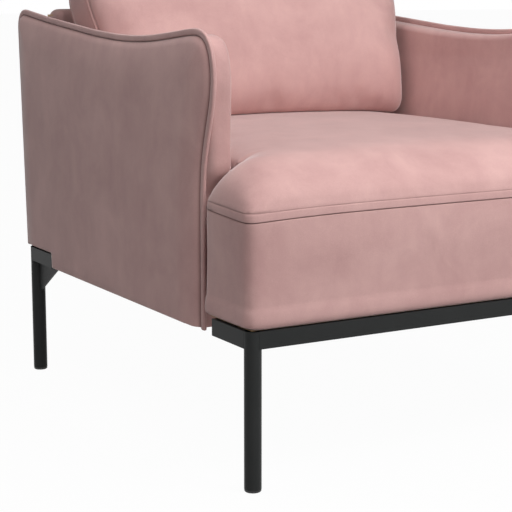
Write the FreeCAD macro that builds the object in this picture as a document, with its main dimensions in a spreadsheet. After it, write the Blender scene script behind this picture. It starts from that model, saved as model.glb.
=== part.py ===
import FreeCAD, Part
import math
import os

import Sketcher
from FreeCAD import Vector

# Lounge armchair: a wooden seat, back and pair of arms, all upholstered, on a welded steel
# base. +Z is up, the front faces -Y, and the chair is symmetric about X = 0. The origin is
# on the floor, under the middle of the overall width and depth.

DOC = FreeCAD.newDocument("lounge_armchair")

# ---------------------------------------------------------------- driving dimensions (mm)

SIZES = {
    # the whole chair
    "overall_width": 742,
    "overall_depth": 875,
    # clearances that many pieces share
    "overcut": 1,
    "slack": 0.5,
    "cover_lift": 1,
    # steel base
    "tube_side": 25,
    "tube_wall": 1.5,
    "leg_diameter": 25,
    "leg_wall": 1.5,
    "leg_inset_side": 2,
    "leg_setback_front": 13.5,
    "leg_setback_rear": 62,
    "rail_underside": 207.5,
    "cope_start": 3,
    "return_length": 97,
    "gusset_run": 84,
    "gusset_drop": 54,
    "gusset_thickness": 4,
    "gusset_lip": 4,
    "gusset_fit": 0.1,
    "glide_height": 4,
    "glide_stem": 14,
    "glide_clearance": 0.2,
    "glide_reveal": 0.3,
    "glide_bevel": 1.2,
    "plug_length": 12,
    "plug_head": 0.8,
    "tab_size": 36,
    "tab_thickness": 4,
    "tab_from_side": 90,
    "base_screw_diameter": 6,
    "base_screw_length": 28,
    # wooden seat frame
    "board_thickness": 30,
    "board_width": 60,
    "front_padding": 10,
    "side_padding": 8,
    "batten_from_ear": 16,
    "batten_from_notch": 20,
    "pilot_play": 0.2,
    "screw_play": 0.4,
    # arms
    "arm_thickness": 62,
    "outer_pad_thickness": 14.5,
    "arm_underside": 207,
    "arm_valley_height": 620,
    "arm_hump_rise": 14,
    "arm_rear_rise": 35,
    "arm_setback": 162.5,
    "arm_lean_front": 32,
    "arm_lean_rear": 20,
    "arm_rear_reveal": 8,
    "arm_nose_drop": 230,
    "arm_nose_radius": 25,
    "arm_valley_place": 218,
    "arm_corner": 22,
    "arm_board_inset": 14,
    "arm_board_thickness": 18,
    "arm_opening_web": 70,
    "arm_opening_base": 320,
    "arm_opening_corner": 24,
    "notch_clearance": 1,
    "welt_height": 8,
    "welt_thickness": 5,
    "welt_gap": 0.1,
    "arm_screw_diameter": 8,
    "arm_screw_bite": 14,
    # seat upholstery
    "seam_height": 391,
    "seat_height": 466,
    "seat_corner": 26,
    "ear_gap": 27,
    "cover_thickness": 6,
    "fit_gap": 2,
    "foam_gap": 0.5,
    "webbing_width": 60,
    "webbing_thickness": 2,
    "webbing_lap": 12,
    "cloth_thickness": 1,
    "cloth_lap": 3,
    # back
    "back_thickness": 62,
    "back_height": 666,
    "stile_width": 45,
    "back_frame_thickness": 26,
    "back_panel_thickness": 4,
    "back_panel_drop": 4,
    "back_frame_drop": 6,
    "back_frame_rise": 2,
    "back_strap_inset": 12,
    # loose back cushion
    "cushion_back_gap": 1,
    "cushion_rake": 18,
    "cushion_thickness": 160,
    "cushion_length": 400,
    "cushion_side_gap": 5,
    "cushion_corner": 34,
    "cushion_bevel": 18,
    "zip_width": 24,
    "zip_from_corner": 20,
    "zip_play": 0.3,
}

SHEET = DOC.addObject("Spreadsheet::Sheet", "dims")
for row, (alias, size) in enumerate(SIZES.items(), start=1):
    SHEET.set(f"A{row}", alias)
    SHEET.set(f"B{row}", str(size))
    SHEET.setAlias(f"B{row}", alias)
DOC.recompute()

# Places that several pieces share, as expressions on the sheet.
FRONT = "(-dims.overall_depth / 2)"
REAR = "(dims.overall_depth / 2)"
LEG_X = "(dims.overall_width / 2 - dims.leg_inset_side - dims.leg_diameter / 2)"
LEG_FRONT_Y = f"({FRONT} + dims.leg_setback_front)"
LEG_REAR_Y = f"({REAR} - dims.leg_setback_rear)"
RAIL_TOP = "(dims.rail_underside + dims.tube_side)"
BOARD_TOP = f"({RAIL_TOP} + dims.board_thickness)"
ARM_INNER = "(dims.overall_width / 2 - dims.arm_thickness)"
ARM_SEAM = "(dims.overall_width / 2 - dims.outer_pad_thickness)"
ARM_FRONT = f"({FRONT} + dims.arm_setback)"
ARM_REAR = f"({REAR} - dims.arm_rear_reveal)"
NOTCH_FRONT = f"({LEG_REAR_Y} - dims.return_length - dims.notch_clearance)"
EAR_X = "(dims.overall_width / 2 - dims.leg_inset_side)"
EAR_REAR = f"({ARM_FRONT} - dims.ear_gap)"
SEAT_X = f"({ARM_INNER} - dims.fit_gap)"
BACK_FRONT = f"({REAR} - dims.back_thickness)"
SEAT_REAR = f"({BACK_FRONT} - dims.fit_gap)"
BOARD_FRONT = f"({FRONT} + dims.front_padding)"
BOARD_SIDE = f"({SEAT_X} - dims.cover_thickness - dims.foam_gap)"
BOARD_REAR = f"({SEAT_REAR} - dims.cover_thickness - dims.foam_gap)"

SIDES = (("left", -1), ("right", 1))


def value(expression):
    """The number that an expression on the sheet works out to."""
    return float(SHEET.evalExpression(expression))


# ---------------------------------------------------------------- ways of making a piece

PIECES = {}


def keep(label, piece):
    """Name a finished piece: the name is its node's and its file's."""
    piece.Label = label
    PIECES[label] = piece
    return piece


def across(sign, near, far):
    """The low and high X of something that lies from near to far out from the middle."""
    return (near, far) if sign > 0 else (f"-({far})", f"-({near})")


def block(name, x_span, y_span, z_span):
    """A box between pairs of expressions."""
    box = DOC.addObject("Part::Box", name)
    for size, axis, (low, high) in zip(("Length", "Width", "Height"), "xyz", (x_span, y_span, z_span)):
        box.setExpression(size, f"({high}) - ({low})")
        box.setExpression(f"Placement.Base.{axis}", low)
    return box


def rod(name, x, y, z_span, diameter):
    """An upright cylinder at x, y between two heights."""
    cylinder = DOC.addObject("Part::Cylinder", name)
    low, high = z_span
    cylinder.setExpression("Radius", f"({diameter}) / 2")
    cylinder.setExpression("Height", f"({high}) - ({low})")
    for axis, place in zip("xyz", (x, y, low)):
        cylinder.setExpression(f"Placement.Base.{axis}", place)
    return cylinder


def cross_rod(name, x_span, y, z, diameter):
    """A cylinder lying along X between two places."""
    cylinder = DOC.addObject("Part::Cylinder", name)
    cylinder.Placement = FreeCAD.Placement(Vector(), FreeCAD.Rotation(Vector(0, 1, 0), 90))
    low, high = x_span
    cylinder.setExpression("Radius", f"({diameter}) / 2")
    cylinder.setExpression("Height", f"({high}) - ({low})")
    for axis, place in zip("xyz", (low, y, z)):
        cylinder.setExpression(f"Placement.Base.{axis}", place)
    return cylinder


def screw(name, along, x, y, z, head_size, diameter, length):
    """A hexagon-headed wood screw: its head's outer face at x, y, z, its point along a unit vector."""
    turn = FreeCAD.Rotation(Vector(0, 0, 1), Vector(*along))
    head = DOC.addObject("Part::Prism", f"{name}_head")
    head.Polygon = 6
    head.setExpression("Circumradius", f"({head_size}) / 2")
    head.setExpression("Height", f"({diameter}) * 0.7")
    shank = DOC.addObject("Part::Cylinder", f"{name}_shank")
    shank.setExpression("Radius", f"({diameter}) / 2")
    shank.setExpression("Height", f"({length}) + ({diameter}) * 0.7")
    for item in (head, shank):
        item.Placement = FreeCAD.Placement(Vector(), turn)
        for axis, place in zip("xyz", (x, y, z)):
            item.setExpression(f"Placement.Base.{axis}", place)
    return fuse(name, head, shank)


def cut(name, base, *tools):
    """The base with each tool taken out of it in turn."""
    for count, tool in enumerate(tools):
        result = DOC.addObject("Part::Cut", f"{name}_cut_{count}")
        result.Base = base
        result.Tool = tool
        base = result
    return base


def fuse(name, first, *others):
    """The pieces welded into one solid."""
    for count, other in enumerate(others):
        result = DOC.addObject("Part::Fuse", f"{name}_fuse_{count}")
        result.Base = first
        result.Tool = other
        first = result
    return first


def group(label, members):
    """Identical fasteners or fittings, kept together as separate solids of one node."""
    compound = DOC.addObject("Part::Compound", label)
    compound.Links = members
    return keep(label, compound)


def sketch_in(body, name, plane, points):
    """A closed outline of straight lines, each corner held by two expressions."""
    sketch = body.newObject("Sketcher::SketchObject", name)
    base_plane = next(item for item in body.Origin.OriginFeatures if item.Role == plane)
    sketch.AttachmentSupport = [(base_plane, "")]
    sketch.MapMode = "FlatFace"
    corners = [Vector(value(x), value(y), 0) for x, y in points]
    count = len(points)
    for index in range(count):
        sketch.addGeometry(Part.LineSegment(corners[index], corners[(index + 1) % count]), False)
    for index in range(count):
        sketch.addConstraint(Sketcher.Constraint("Coincident", index, 2, (index + 1) % count, 1))
    for index, corner in enumerate(points):
        for kind, place in zip(("DistanceX", "DistanceY"), corner):
            held = sketch.addConstraint(Sketcher.Constraint(kind, -1, 1, index, 1, value(place)))
            sketch.setExpression(f"Constraints[{held}]", place)
    return sketch


def pad(body, name, sketch, length, start="0"):
    """Give a sketch its thickness, from an offset of its plane."""
    sketch.setExpression(".AttachmentOffset.Base.z", start)
    feature = body.newObject("PartDesign::Pad", name)
    feature.Profile = sketch
    feature.setExpression("Length", length)
    DOC.recompute()
    return feature


def pocket(body, name, sketch, length, start, reverse):
    """Cut a sketch into the body by a depth, from an offset of its plane."""
    before = body.Shape.Volume
    sketch.setExpression(".AttachmentOffset.Base.z", start)
    feature = body.newObject("PartDesign::Pocket", name)
    feature.Profile = sketch
    feature.Reversed = reverse
    feature.setExpression("Length", length)
    DOC.recompute()
    if body.Shape.Volume >= before:
        raise RuntimeError(f"{name} cuts nothing")
    return feature


def soften_edges(body, name, kind, measure, chosen, size):
    """Fillet or chamfer the edges of the body that a test picks."""
    base = body.Tip
    edges = [f"Edge{number}" for number, edge in enumerate(base.Shape.Edges, start=1) if chosen(edge)]
    feature = body.newObject(kind, name)
    feature.Base = (base, edges)
    feature.setExpression(measure, size)
    DOC.recompute()
    return feature


def round_edges(body, name, chosen, radius):
    """Fillet the edges of the body that a test picks."""
    return soften_edges(body, name, "PartDesign::Fillet", "Radius", chosen, radius)


def bevel_edges(body, name, chosen, size):
    """Chamfer the edges of the body that a test picks."""
    return soften_edges(body, name, "PartDesign::Chamfer", "Size", chosen, size)


def every_edge(edge):
    """Any edge at all."""
    return True


def upright(edge):
    """Whether an edge is a straight vertical one."""
    start, end = edge.Vertexes[0].Point, edge.Vertexes[-1].Point
    return abs(start.x - end.x) < 1e-6 and abs(start.y - end.y) < 1e-6 and abs(start.z - end.z) > 1


# ---------------------------------------------------------------- steel base

def make_leg(label, x, y):
    """A round tube leg, open at both ends, from the glide up to the top of the rails."""
    span = ("dims.glide_height", RAIL_TOP)
    outside = rod(f"{label}_outside", x, y, span, "dims.leg_diameter")
    bore = rod(f"{label}_bore", x, y, span, "dims.leg_diameter - 2 * dims.leg_wall")
    return keep(label, cut(label, outside, bore))


def square_tube(name, x_span, y_span, along):
    """A square tube at rail height, hollow along X or Y."""
    wall = "dims.tube_wall"
    height = ("dims.rail_underside", RAIL_TOP)
    outside = block(f"{name}_outside", x_span, y_span, height)
    bore_x, bore_y = x_span, y_span
    if along == "x":
        bore_y = (f"{y_span[0]} + {wall}", f"{y_span[1]} - {wall}")
    else:
        bore_x = (f"{x_span[0]} + {wall}", f"{x_span[1]} - {wall}")
    bore_z = (f"{height[0]} + {wall}", f"{height[1]} - {wall}")
    return cut(name, outside, block(f"{name}_bore", bore_x, bore_y, bore_z))


def leg_hole(name, x, y):
    """The round of a leg, as a tool that copes the end of a rail."""
    span = ("dims.rail_underside - dims.overcut", f"{RAIL_TOP} + dims.overcut")
    return rod(name, x, y, span, "dims.leg_diameter")


END_ROWS = (("front", LEG_FRONT_Y, 1), ("rear", LEG_REAR_Y, -1))
HALF_TUBE = "dims.tube_side / 2"

for end, leg_y, inward in END_ROWS:
    # The rail runs from leg to leg, its two ends coped round the legs and welded.
    rail = square_tube(
        f"{end}_rail",
        (f"-({LEG_X}) + dims.cope_start", f"{LEG_X} - dims.cope_start"),
        (f"{leg_y} - {HALF_TUBE}", f"{leg_y} + {HALF_TUBE}"),
        "x",
    )
    copes = [leg_hole(f"{end}_rail_cope_{side}", f"{sign} * {LEG_X}", leg_y) for side, sign in SIDES]
    keep(f"{end}_rail", cut(f"{end}_rail_coped", rail, *copes))

    for side, sign in SIDES:
        leg_x = f"{sign} * {LEG_X}"
        make_leg(f"leg_{end}_{side}", leg_x, leg_y)
        # A short return runs from each leg towards the middle of the chair's side.
        start, stop = f"{leg_y} + {inward} * dims.cope_start", f"{leg_y} + {inward} * dims.return_length"
        y_span = (start, stop) if inward > 0 else (stop, start)
        x_span = (f"{leg_x} - {HALF_TUBE}", f"{leg_x} + {HALF_TUBE}")
        tube = square_tube(f"return_{end}_{side}", x_span, y_span, "y")
        cope = leg_hole(f"return_{end}_{side}_cope", leg_x, leg_y)
        beside_rail = block(f"return_{end}_{side}_trim", across(sign, "0", f"{LEG_X} - dims.cope_start"),
                            (f"{leg_y} - {HALF_TUBE}", f"{leg_y} + {HALF_TUBE}"),
                            ("dims.rail_underside - dims.overcut", f"{RAIL_TOP} + dims.overcut"))
        keep(f"return_{end}_{side}", cut(f"return_{end}_{side}_coped", tube, cope, beside_rail))


def make_gusset(side, sign):
    """The triangular plate under a rear return that braces it to the leg."""
    body = DOC.addObject("PartDesign::Body", f"gusset_{side}")
    leg_face = f"({LEG_REAR_Y} - dims.leg_diameter / 2 - dims.gusset_fit)"
    tip = f"({LEG_REAR_Y} - dims.leg_diameter / 2 - dims.gusset_run)"
    top = "dims.rail_underside"
    outline = sketch_in(body, f"gusset_{side}_outline", "YZ_Plane", [
        (leg_face, top),
        (tip, top),
        (tip, f"{top} - dims.gusset_lip"),
        (f"{leg_face} - dims.gusset_lip", f"{top} - dims.gusset_drop"),
        (leg_face, f"{top} - dims.gusset_drop"),
    ])
    pad(body, f"gusset_{side}_plate", outline, "dims.gusset_thickness",
        f"{sign} * {LEG_X} - dims.gusset_thickness / 2")
    return keep(f"gusset_{side}", body)


for side, sign in SIDES:
    make_gusset(side, sign)


def make_glide(name, x, y):
    """A plastic glide: a stem that plugs the leg and a foot as wide as the leg."""
    stem_diameter = "dims.leg_diameter - 2 * dims.leg_wall - 2 * dims.glide_clearance"
    foot_diameter = "dims.leg_diameter - 2 * dims.glide_reveal"
    foot = rod(f"{name}_foot", x, y, ("0", "dims.glide_height"), foot_diameter)
    stem_span = ("dims.glide_height / 2", "dims.glide_height + dims.glide_stem")
    stem = rod(f"{name}_stem", x, y, stem_span, stem_diameter)
    joined = fuse(name, foot, stem)
    DOC.recompute()
    eased = DOC.addObject("Part::Chamfer", f"{name}_eased")
    eased.Base = joined
    rim = [n for n, edge in enumerate(joined.Shape.Edges, start=1) if abs(edge.BoundBox.ZMax) < 1e-6]
    bevel = value("dims.glide_bevel")
    eased.Edges = [(n, bevel, bevel) for n in rim]
    return eased


group("foot_glides", [
    make_glide(f"glide_{end}_{side}", f"{sign} * {LEG_X}", leg_y)
    for end, leg_y, inward in END_ROWS for side, sign in SIDES
])

# Plastic plugs close the open ends of the four returns.
plugs = []
for end, leg_y, inward in END_ROWS:
    for side, sign in SIDES:
        name = f"plug_{end}_{side}"
        centre_x = f"{sign} * {LEG_X}"
        mouth = f"{leg_y} + {inward} * dims.return_length"
        gap = "(dims.tube_wall + dims.glide_clearance)"
        inner = f"({HALF_TUBE} - {gap})"
        stem_y = [mouth, f"{mouth} - {inward} * dims.plug_length"][::-inward]
        head_y = [mouth, f"{mouth} + {inward} * dims.plug_head"][::inward]
        stem_x = (f"{centre_x} - {inner}", f"{centre_x} + {inner}")
        stem_z = (f"dims.rail_underside + {gap}", f"{RAIL_TOP} - {gap}")
        stem = block(f"{name}_stem", stem_x, stem_y, stem_z)
        rim = f"({HALF_TUBE} - dims.slack)"
        head_x = (f"{centre_x} - {rim}", f"{centre_x} + {rim}")
        head_z = ("dims.rail_underside + dims.slack", f"{RAIL_TOP} - dims.slack")
        head = block(f"{name}_head", head_x, head_y, head_z)
        plugs.append(fuse(name, stem, head))
group("return_end_plugs", plugs)

# Flat tabs welded inside the front and rear rails carry the wooden seat frame, each held by
# one screw that goes up into the board above.
tabs, base_screws = [], []
TAB_X = f"({LEG_X} - dims.tab_from_side)"
SCREW_BACKSET = f"({HALF_TUBE} + dims.tab_size / 2)"
for end, leg_y, inward in END_ROWS:
    for side, sign in SIDES:
        name = f"{end}_{side}"
        middle = f"({sign} * {TAB_X})"
        face = f"{leg_y} + {inward} * {HALF_TUBE}"
        far = f"{face} + {inward} * dims.tab_size"
        y_span = (face, far) if inward > 0 else (far, face)
        hole_y = f"({leg_y} + {inward} * {SCREW_BACKSET})"
        underside = f"({RAIL_TOP} - dims.tab_thickness)"
        x_span = (f"{middle} - dims.tab_size / 2", f"{middle} + dims.tab_size / 2")
        plate = block(f"tab_{name}", x_span, y_span, (underside, RAIL_TOP))
        hole_z = (f"{underside} - dims.overcut", f"{RAIL_TOP} + dims.overcut")
        hole = rod(f"tab_{name}_hole", middle, hole_y, hole_z, "dims.base_screw_diameter + 2 * dims.slack")
        tabs.append(cut(f"tab_{name}_drilled", plate, hole))
        base_screws.append(screw(f"base_screw_{name}", (0, 0, 1), middle, hole_y,
                                 f"{underside} - dims.base_screw_diameter * 0.7",
                                 "dims.base_screw_diameter * 1.9", "dims.base_screw_diameter",
                                 "dims.base_screw_length"))
group("mounting_tabs", tabs)
group("base_screws", base_screws)


# ---------------------------------------------------------------- wooden seat frame

BOARD_Z = (RAIL_TOP, BOARD_TOP)

# Two long screws on each side go from inside the seat frame out into the arm's board.
BATTEN_Y = (f"({EAR_REAR} + dims.batten_from_ear)", f"({NOTCH_FRONT} + dims.batten_from_notch)")
BATTEN_Z = (f"({RAIL_TOP} + 2 * dims.notch_clearance)", BOARD_TOP)
SCREW_ROWS = [f"({BATTEN_Y[0]} + ({BATTEN_Y[1]} - {BATTEN_Y[0]}) * {share})" for share in (0.15, 0.85)]
SCREW_Z = f"({RAIL_TOP} + dims.board_thickness / 2)"
SCREW_HOLE = "dims.arm_screw_diameter + dims.screw_play"
SIDE_BOARD_X = (f"({BOARD_SIDE} - dims.board_width)", BOARD_SIDE)


def pilot_hole(name, end_y, inward, sign):
    """The hole in the underside of a board for one of the base's screws."""
    depth = "(dims.base_screw_length - dims.tab_thickness + dims.overcut)"
    return rod(name, f"{sign} * {TAB_X}", f"{end_y} + {inward} * {SCREW_BACKSET}",
               (f"{RAIL_TOP} - dims.overcut", f"{RAIL_TOP} + {depth}"),
               "dims.base_screw_diameter + dims.pilot_play")


FRONT_BOARD_X = (f"-({EAR_X} - dims.side_padding)", f"{EAR_X} - dims.side_padding")
front_board = block("seat_front_board_blank", FRONT_BOARD_X,
                    (BOARD_FRONT, f"{BOARD_FRONT} + dims.board_width"), BOARD_Z)
keep("seat_front_board", cut("seat_front_board", front_board, *[
    pilot_hole(f"front_board_hole_{side}", LEG_FRONT_Y, 1, sign) for side, sign in SIDES]))

rear_board = block("seat_rear_board_blank", (f"-{SIDE_BOARD_X[1]}", SIDE_BOARD_X[1]),
                   (f"{BOARD_REAR} - dims.board_width", BOARD_REAR), BOARD_Z)
keep("seat_rear_board", cut("seat_rear_board", rear_board, *[
    pilot_hole(f"rear_board_hole_{side}", LEG_REAR_Y, -1, sign) for side, sign in SIDES]))

for side, sign in SIDES:
    blank = block(f"side_board_{side}_blank", across(sign, *SIDE_BOARD_X),
                  (f"{BOARD_FRONT} + dims.board_width", f"{BOARD_REAR} - dims.board_width"), BOARD_Z)
    through = across(sign, f"{SIDE_BOARD_X[0]} - 1", f"{SIDE_BOARD_X[1]} + 1")
    keep(f"seat_side_board_{side}", cut(f"side_board_{side}", blank, *[
        cross_rod(f"side_board_{side}_hole_{number}", through, place, SCREW_Z, SCREW_HOLE)
        for number, place in enumerate(SCREW_ROWS)]))
    # The ear board carries the part of the seat that reaches out in front of the arm.
    ear_x = across(sign, BOARD_SIDE, f"{EAR_X} - dims.side_padding")
    keep(f"ear_board_{side}", block(
        f"ear_board_{side}", ear_x,
        (f"{BOARD_FRONT} + dims.board_width", f"{EAR_REAR} - dims.side_padding"), BOARD_Z))


# ---------------------------------------------------------------- seat webbing and dust cover

def make_webbing(label, count, along):
    """Elastic straps stretched over the seat boards, evenly spaced, all running one way."""
    straps = []
    opening_x = f"({SIDE_BOARD_X[0]} + dims.webbing_lap)"
    y_low = f"({BOARD_FRONT} + dims.board_width)"
    y_high = f"({BOARD_REAR} - dims.board_width)"
    for number in range(1, count + 1):
        if along == "y":
            centre = f"(-{SIDE_BOARD_X[0]} + 2 * {SIDE_BOARD_X[0]} * {number} / {count + 1})"
            spans = ((f"{centre} - dims.webbing_width / 2", f"{centre} + dims.webbing_width / 2"),
                     (f"{y_low} - dims.webbing_lap", f"{y_high} + dims.webbing_lap"))
            low = BOARD_TOP
        else:
            centre = f"({y_low} + ({y_high} - {y_low}) * {number} / {count + 1})"
            spans = ((f"-{opening_x}", opening_x),
                     (f"{centre} - dims.webbing_width / 2", f"{centre} + dims.webbing_width / 2"))
            low = f"({BOARD_TOP} + dims.webbing_thickness)"
        straps.append(block(f"{label}_{number}", *spans, (low, f"{low} + dims.webbing_thickness")))
    return group(label, straps)


make_webbing("seat_webbing_long", 5, "y")
make_webbing("seat_webbing_cross", 5, "x")

# A thin cloth closes the underside of the seat frame, between the front and rear rails.
keep("dust_cover", block(
    "dust_cover",
    (f"-{SIDE_BOARD_X[1]} + dims.cloth_lap", f"{SIDE_BOARD_X[1]} - dims.cloth_lap"),
    (f"{BOARD_FRONT} + dims.board_width - dims.cloth_lap",
     f"{BOARD_REAR} - dims.board_width + dims.cloth_lap"),
    (f"{RAIL_TOP} - dims.cloth_thickness", RAIL_TOP)))


# ---------------------------------------------------------------- seat upholstery

def tee(inset):
    """The plan of the T-shaped seat: wide ears in front of the arms, the rest between them."""
    ear_x, seat_x = f"({EAR_X} - {inset})", f"({SEAT_X} - {inset})"
    front, ear_rear, rear = f"({FRONT} + {inset})", f"({EAR_REAR} - {inset})", f"({SEAT_REAR} - {inset})"
    return [
        (f"-{ear_x}", front), (ear_x, front), (ear_x, ear_rear), (seat_x, ear_rear),
        (seat_x, rear), (f"-{seat_x}", rear), (f"-{seat_x}", ear_rear), (f"-{ear_x}", ear_rear),
    ]


def at_front_corner(edge):
    """Whether an upright edge stands at one of the two front corners of the seat."""
    return upright(edge) and edge.BoundBox.YMin < value(f"{FRONT} + dims.front_padding")


def at_seat_top(edge):
    """Whether an edge lies in the seat's top face."""
    return abs(edge.BoundBox.ZMin - value("dims.seat_height")) < 1e-4


# The cover is a velvet skin over wadding: open underneath, where it is stapled to the boards.
cover = DOC.addObject("PartDesign::Body", "seat_cover")
cover_plan = sketch_in(cover, "seat_cover_plan", "XY_Plane", tee("0"))
COVER_LOW = f"({RAIL_TOP} + dims.cover_lift)"
pad(cover, "seat_cover_block", cover_plan, f"dims.seat_height - {COVER_LOW}", COVER_LOW)
round_edges(cover, "seat_cover_corners", at_front_corner, "dims.seat_corner")
round_edges(cover, "seat_cover_rim", at_seat_top, "dims.cover_thickness * 2")
cavity = sketch_in(cover, "seat_cover_cavity", "XY_Plane", tee("dims.cover_thickness"))
cavity_height = f"dims.seat_height - dims.cover_thickness - {RAIL_TOP}"
pocket(cover, "seat_cover_hollow", cavity, cavity_height, RAIL_TOP, True)
THROUGH_COVER = (f"{BOARD_SIDE} - dims.overcut", f"{SEAT_X} + dims.overcut")
keep("seat_cover", cut("seat_cover_pierced", cover, *[
    cross_rod(f"cover_{side}_hole_{number}", across(sign, *THROUGH_COVER), place, SCREW_Z, SCREW_HOLE)
    for side, sign in SIDES for number, place in enumerate(SCREW_ROWS)]))

# The foam block fills the cover above the webbing.
foam = DOC.addObject("PartDesign::Body", "seat_foam")
foam_inset = "(dims.cover_thickness + dims.foam_gap)"
foam_plan = sketch_in(foam, "seat_foam_plan", "XY_Plane", tee(foam_inset))
foam_low = f"({BOARD_TOP} + 2 * dims.webbing_thickness)"
pad(foam, "seat_foam_block", foam_plan,
    f"dims.seat_height - dims.cover_thickness - dims.foam_gap - {foam_low}", foam_low)
keep("seat_foam", foam)


# ---------------------------------------------------------------- arms

def outward(points, distance):
    """Points moved by a distance square to the line through their neighbours, away from the arm."""
    moved = []
    for index, (y, z) in enumerate(points):
        y_before, z_before = points[max(index - 1, 0)]
        y_after, z_after = points[min(index + 1, len(points) - 1)]
        length = math.hypot(y_after - y_before, z_after - z_before)
        out_y, out_z = (z_before - z_after) / length, (y_after - y_before) / length
        moved.append((y + distance * out_y, z + distance * out_z))
    return moved


def arm_swoop(grow):
    """The front and top of the arm as one line, from the bottom of the front to the rear corner.

    It rises plumb, leans forward to a rounded nose, humps, dips to a valley and climbs to the rear.
    """
    front, rear = value(ARM_FRONT), value(ARM_REAR)
    lean = value("dims.arm_lean_front")
    valley = value("dims.arm_valley_height")
    hump = valley + value("dims.arm_hump_rise")
    rear_top = valley + value("dims.arm_rear_rise")
    low_point = front + value("dims.arm_valley_place")
    line = [
        (front, valley - value("dims.arm_nose_drop")),
        (front - 0.38 * lean, valley - 0.59 * value("dims.arm_nose_drop")),
        (front - lean, valley - value("dims.arm_nose_radius")),
        (front - 0.5 * lean, hump - 0.28 * value("dims.arm_nose_radius")),
        (front + 1.5 * value("dims.arm_nose_radius"), hump),
        (0.7 * low_point + 0.3 * front, valley + 0.2 * (hump - valley)),
        (low_point, valley),
        (0.46 * low_point + 0.54 * rear, valley + 0.41 * (rear_top - valley)),
        (rear - value("dims.arm_corner"), rear_top),
    ]
    line = outward(line, grow)
    return [(front - grow, value("dims.arm_underside") + max(-grow, 0))] + line


def arm_wire(grow):
    """The closed outline of an arm in the YZ plane, grown or shrunk all round but for its underside."""
    swoop = arm_swoop(grow)
    floor_z = swoop[0][1]
    rear = value(ARM_REAR) + grow
    low_rear = rear - value("dims.arm_lean_rear")
    notch_front = value(NOTCH_FRONT) - max(-grow, 0)
    notch_top = value(RAIL_TOP) + value("dims.notch_clearance") + max(-grow, 0)
    front_foot, *curve, top_end = [Vector(0, y, z) for y, z in swoop]
    corner = rear - top_end.y
    rear_top = Vector(0, rear, top_end.z - corner)
    sweep = Part.BSplineCurve()
    sweep.interpolate([*curve, top_end], InitialTangent=Vector(0, 0, 1), FinalTangent=Vector(0, 1, 0.12))
    rounding = (1 - math.sqrt(0.5)) * corner
    across_corner = Vector(0, rear - rounding, top_end.z - rounding)
    corners = [curve[0], front_foot, Vector(0, notch_front, floor_z), Vector(0, notch_front, notch_top),
               Vector(0, low_rear, notch_top), rear_top]
    edges = [Part.LineSegment(a, b).toShape() for a, b in zip(corners, corners[1:])]
    edges.append(Part.Arc(rear_top, across_corner, top_end).toShape())
    edges.append(sweep.toShape())
    return Part.Wire(Part.__sortEdges__(edges))


def slab(wire, sign, near, far):
    """An arm outline given its thickness, from near to far out from the chair's middle."""
    low, high = sorted((sign * value(near), sign * value(far)))
    solid = Part.Face(wire).extrude(Vector(high - low, 0, 0))
    solid.translate(Vector(low, 0, 0))
    return solid


def box_between(sign, near, far, y_span, z_span):
    """A box on one side of the chair, its places given as expressions."""
    low, high = sorted((sign * value(near), sign * value(far)))
    y_low, y_high = (value(place) for place in y_span)
    z_low, z_high = (value(place) for place in z_span)
    return Part.makeBox(high - low, y_high - y_low, z_high - z_low, Vector(low, y_low, z_low))


def freeform(label, shape):
    """A piece whose outline is a free curve."""
    feature = DOC.addObject("Part::Feature", label)
    feature.Shape = shape
    return keep(label, feature)


BOARD_OUTER = f"({ARM_SEAM} - dims.slack)"
BOARD_INNER = f"({BOARD_OUTER} - dims.arm_board_thickness)"


def arm_openings(sign):
    """Two large windows that lighten the arm board, with a web between them and a rim all round."""
    y_low = value(f"{ARM_FRONT} + dims.arm_board_inset + dims.arm_opening_web")
    y_high = value(f"{ARM_REAR} - dims.arm_lean_rear - dims.arm_board_inset - dims.arm_opening_web")
    z_low = value("dims.arm_opening_base")
    z_high = value("dims.arm_valley_height - dims.arm_board_inset - dims.arm_opening_web")
    web = value("dims.arm_opening_web")
    width = (y_high - y_low - web) / 2
    depth = value("dims.arm_board_thickness + 2 * dims.overcut")
    low = min(sign * value(BOARD_OUTER), sign * value(BOARD_INNER)) - value("dims.overcut")
    windows = []
    for start in (y_low, y_low + width + web):
        window = Part.makeBox(depth, width, z_high - z_low, Vector(low, start, z_low))
        through_board = [edge for edge in window.Edges if abs(edge.tangentAt(edge.FirstParameter).x) > 0.9]
        windows.append(window.makeFillet(value("dims.arm_opening_corner"), through_board))
    return windows


def screw_hole(sign, near, far, place):
    """A hole along X for one of the arm's screws."""
    low, high = sorted((sign * value(near), sign * value(far)))
    start = Vector(low, value(place), value(SCREW_Z))
    return Part.makeCylinder(value(SCREW_HOLE) / 2, high - low, start, Vector(1, 0, 0))


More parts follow.
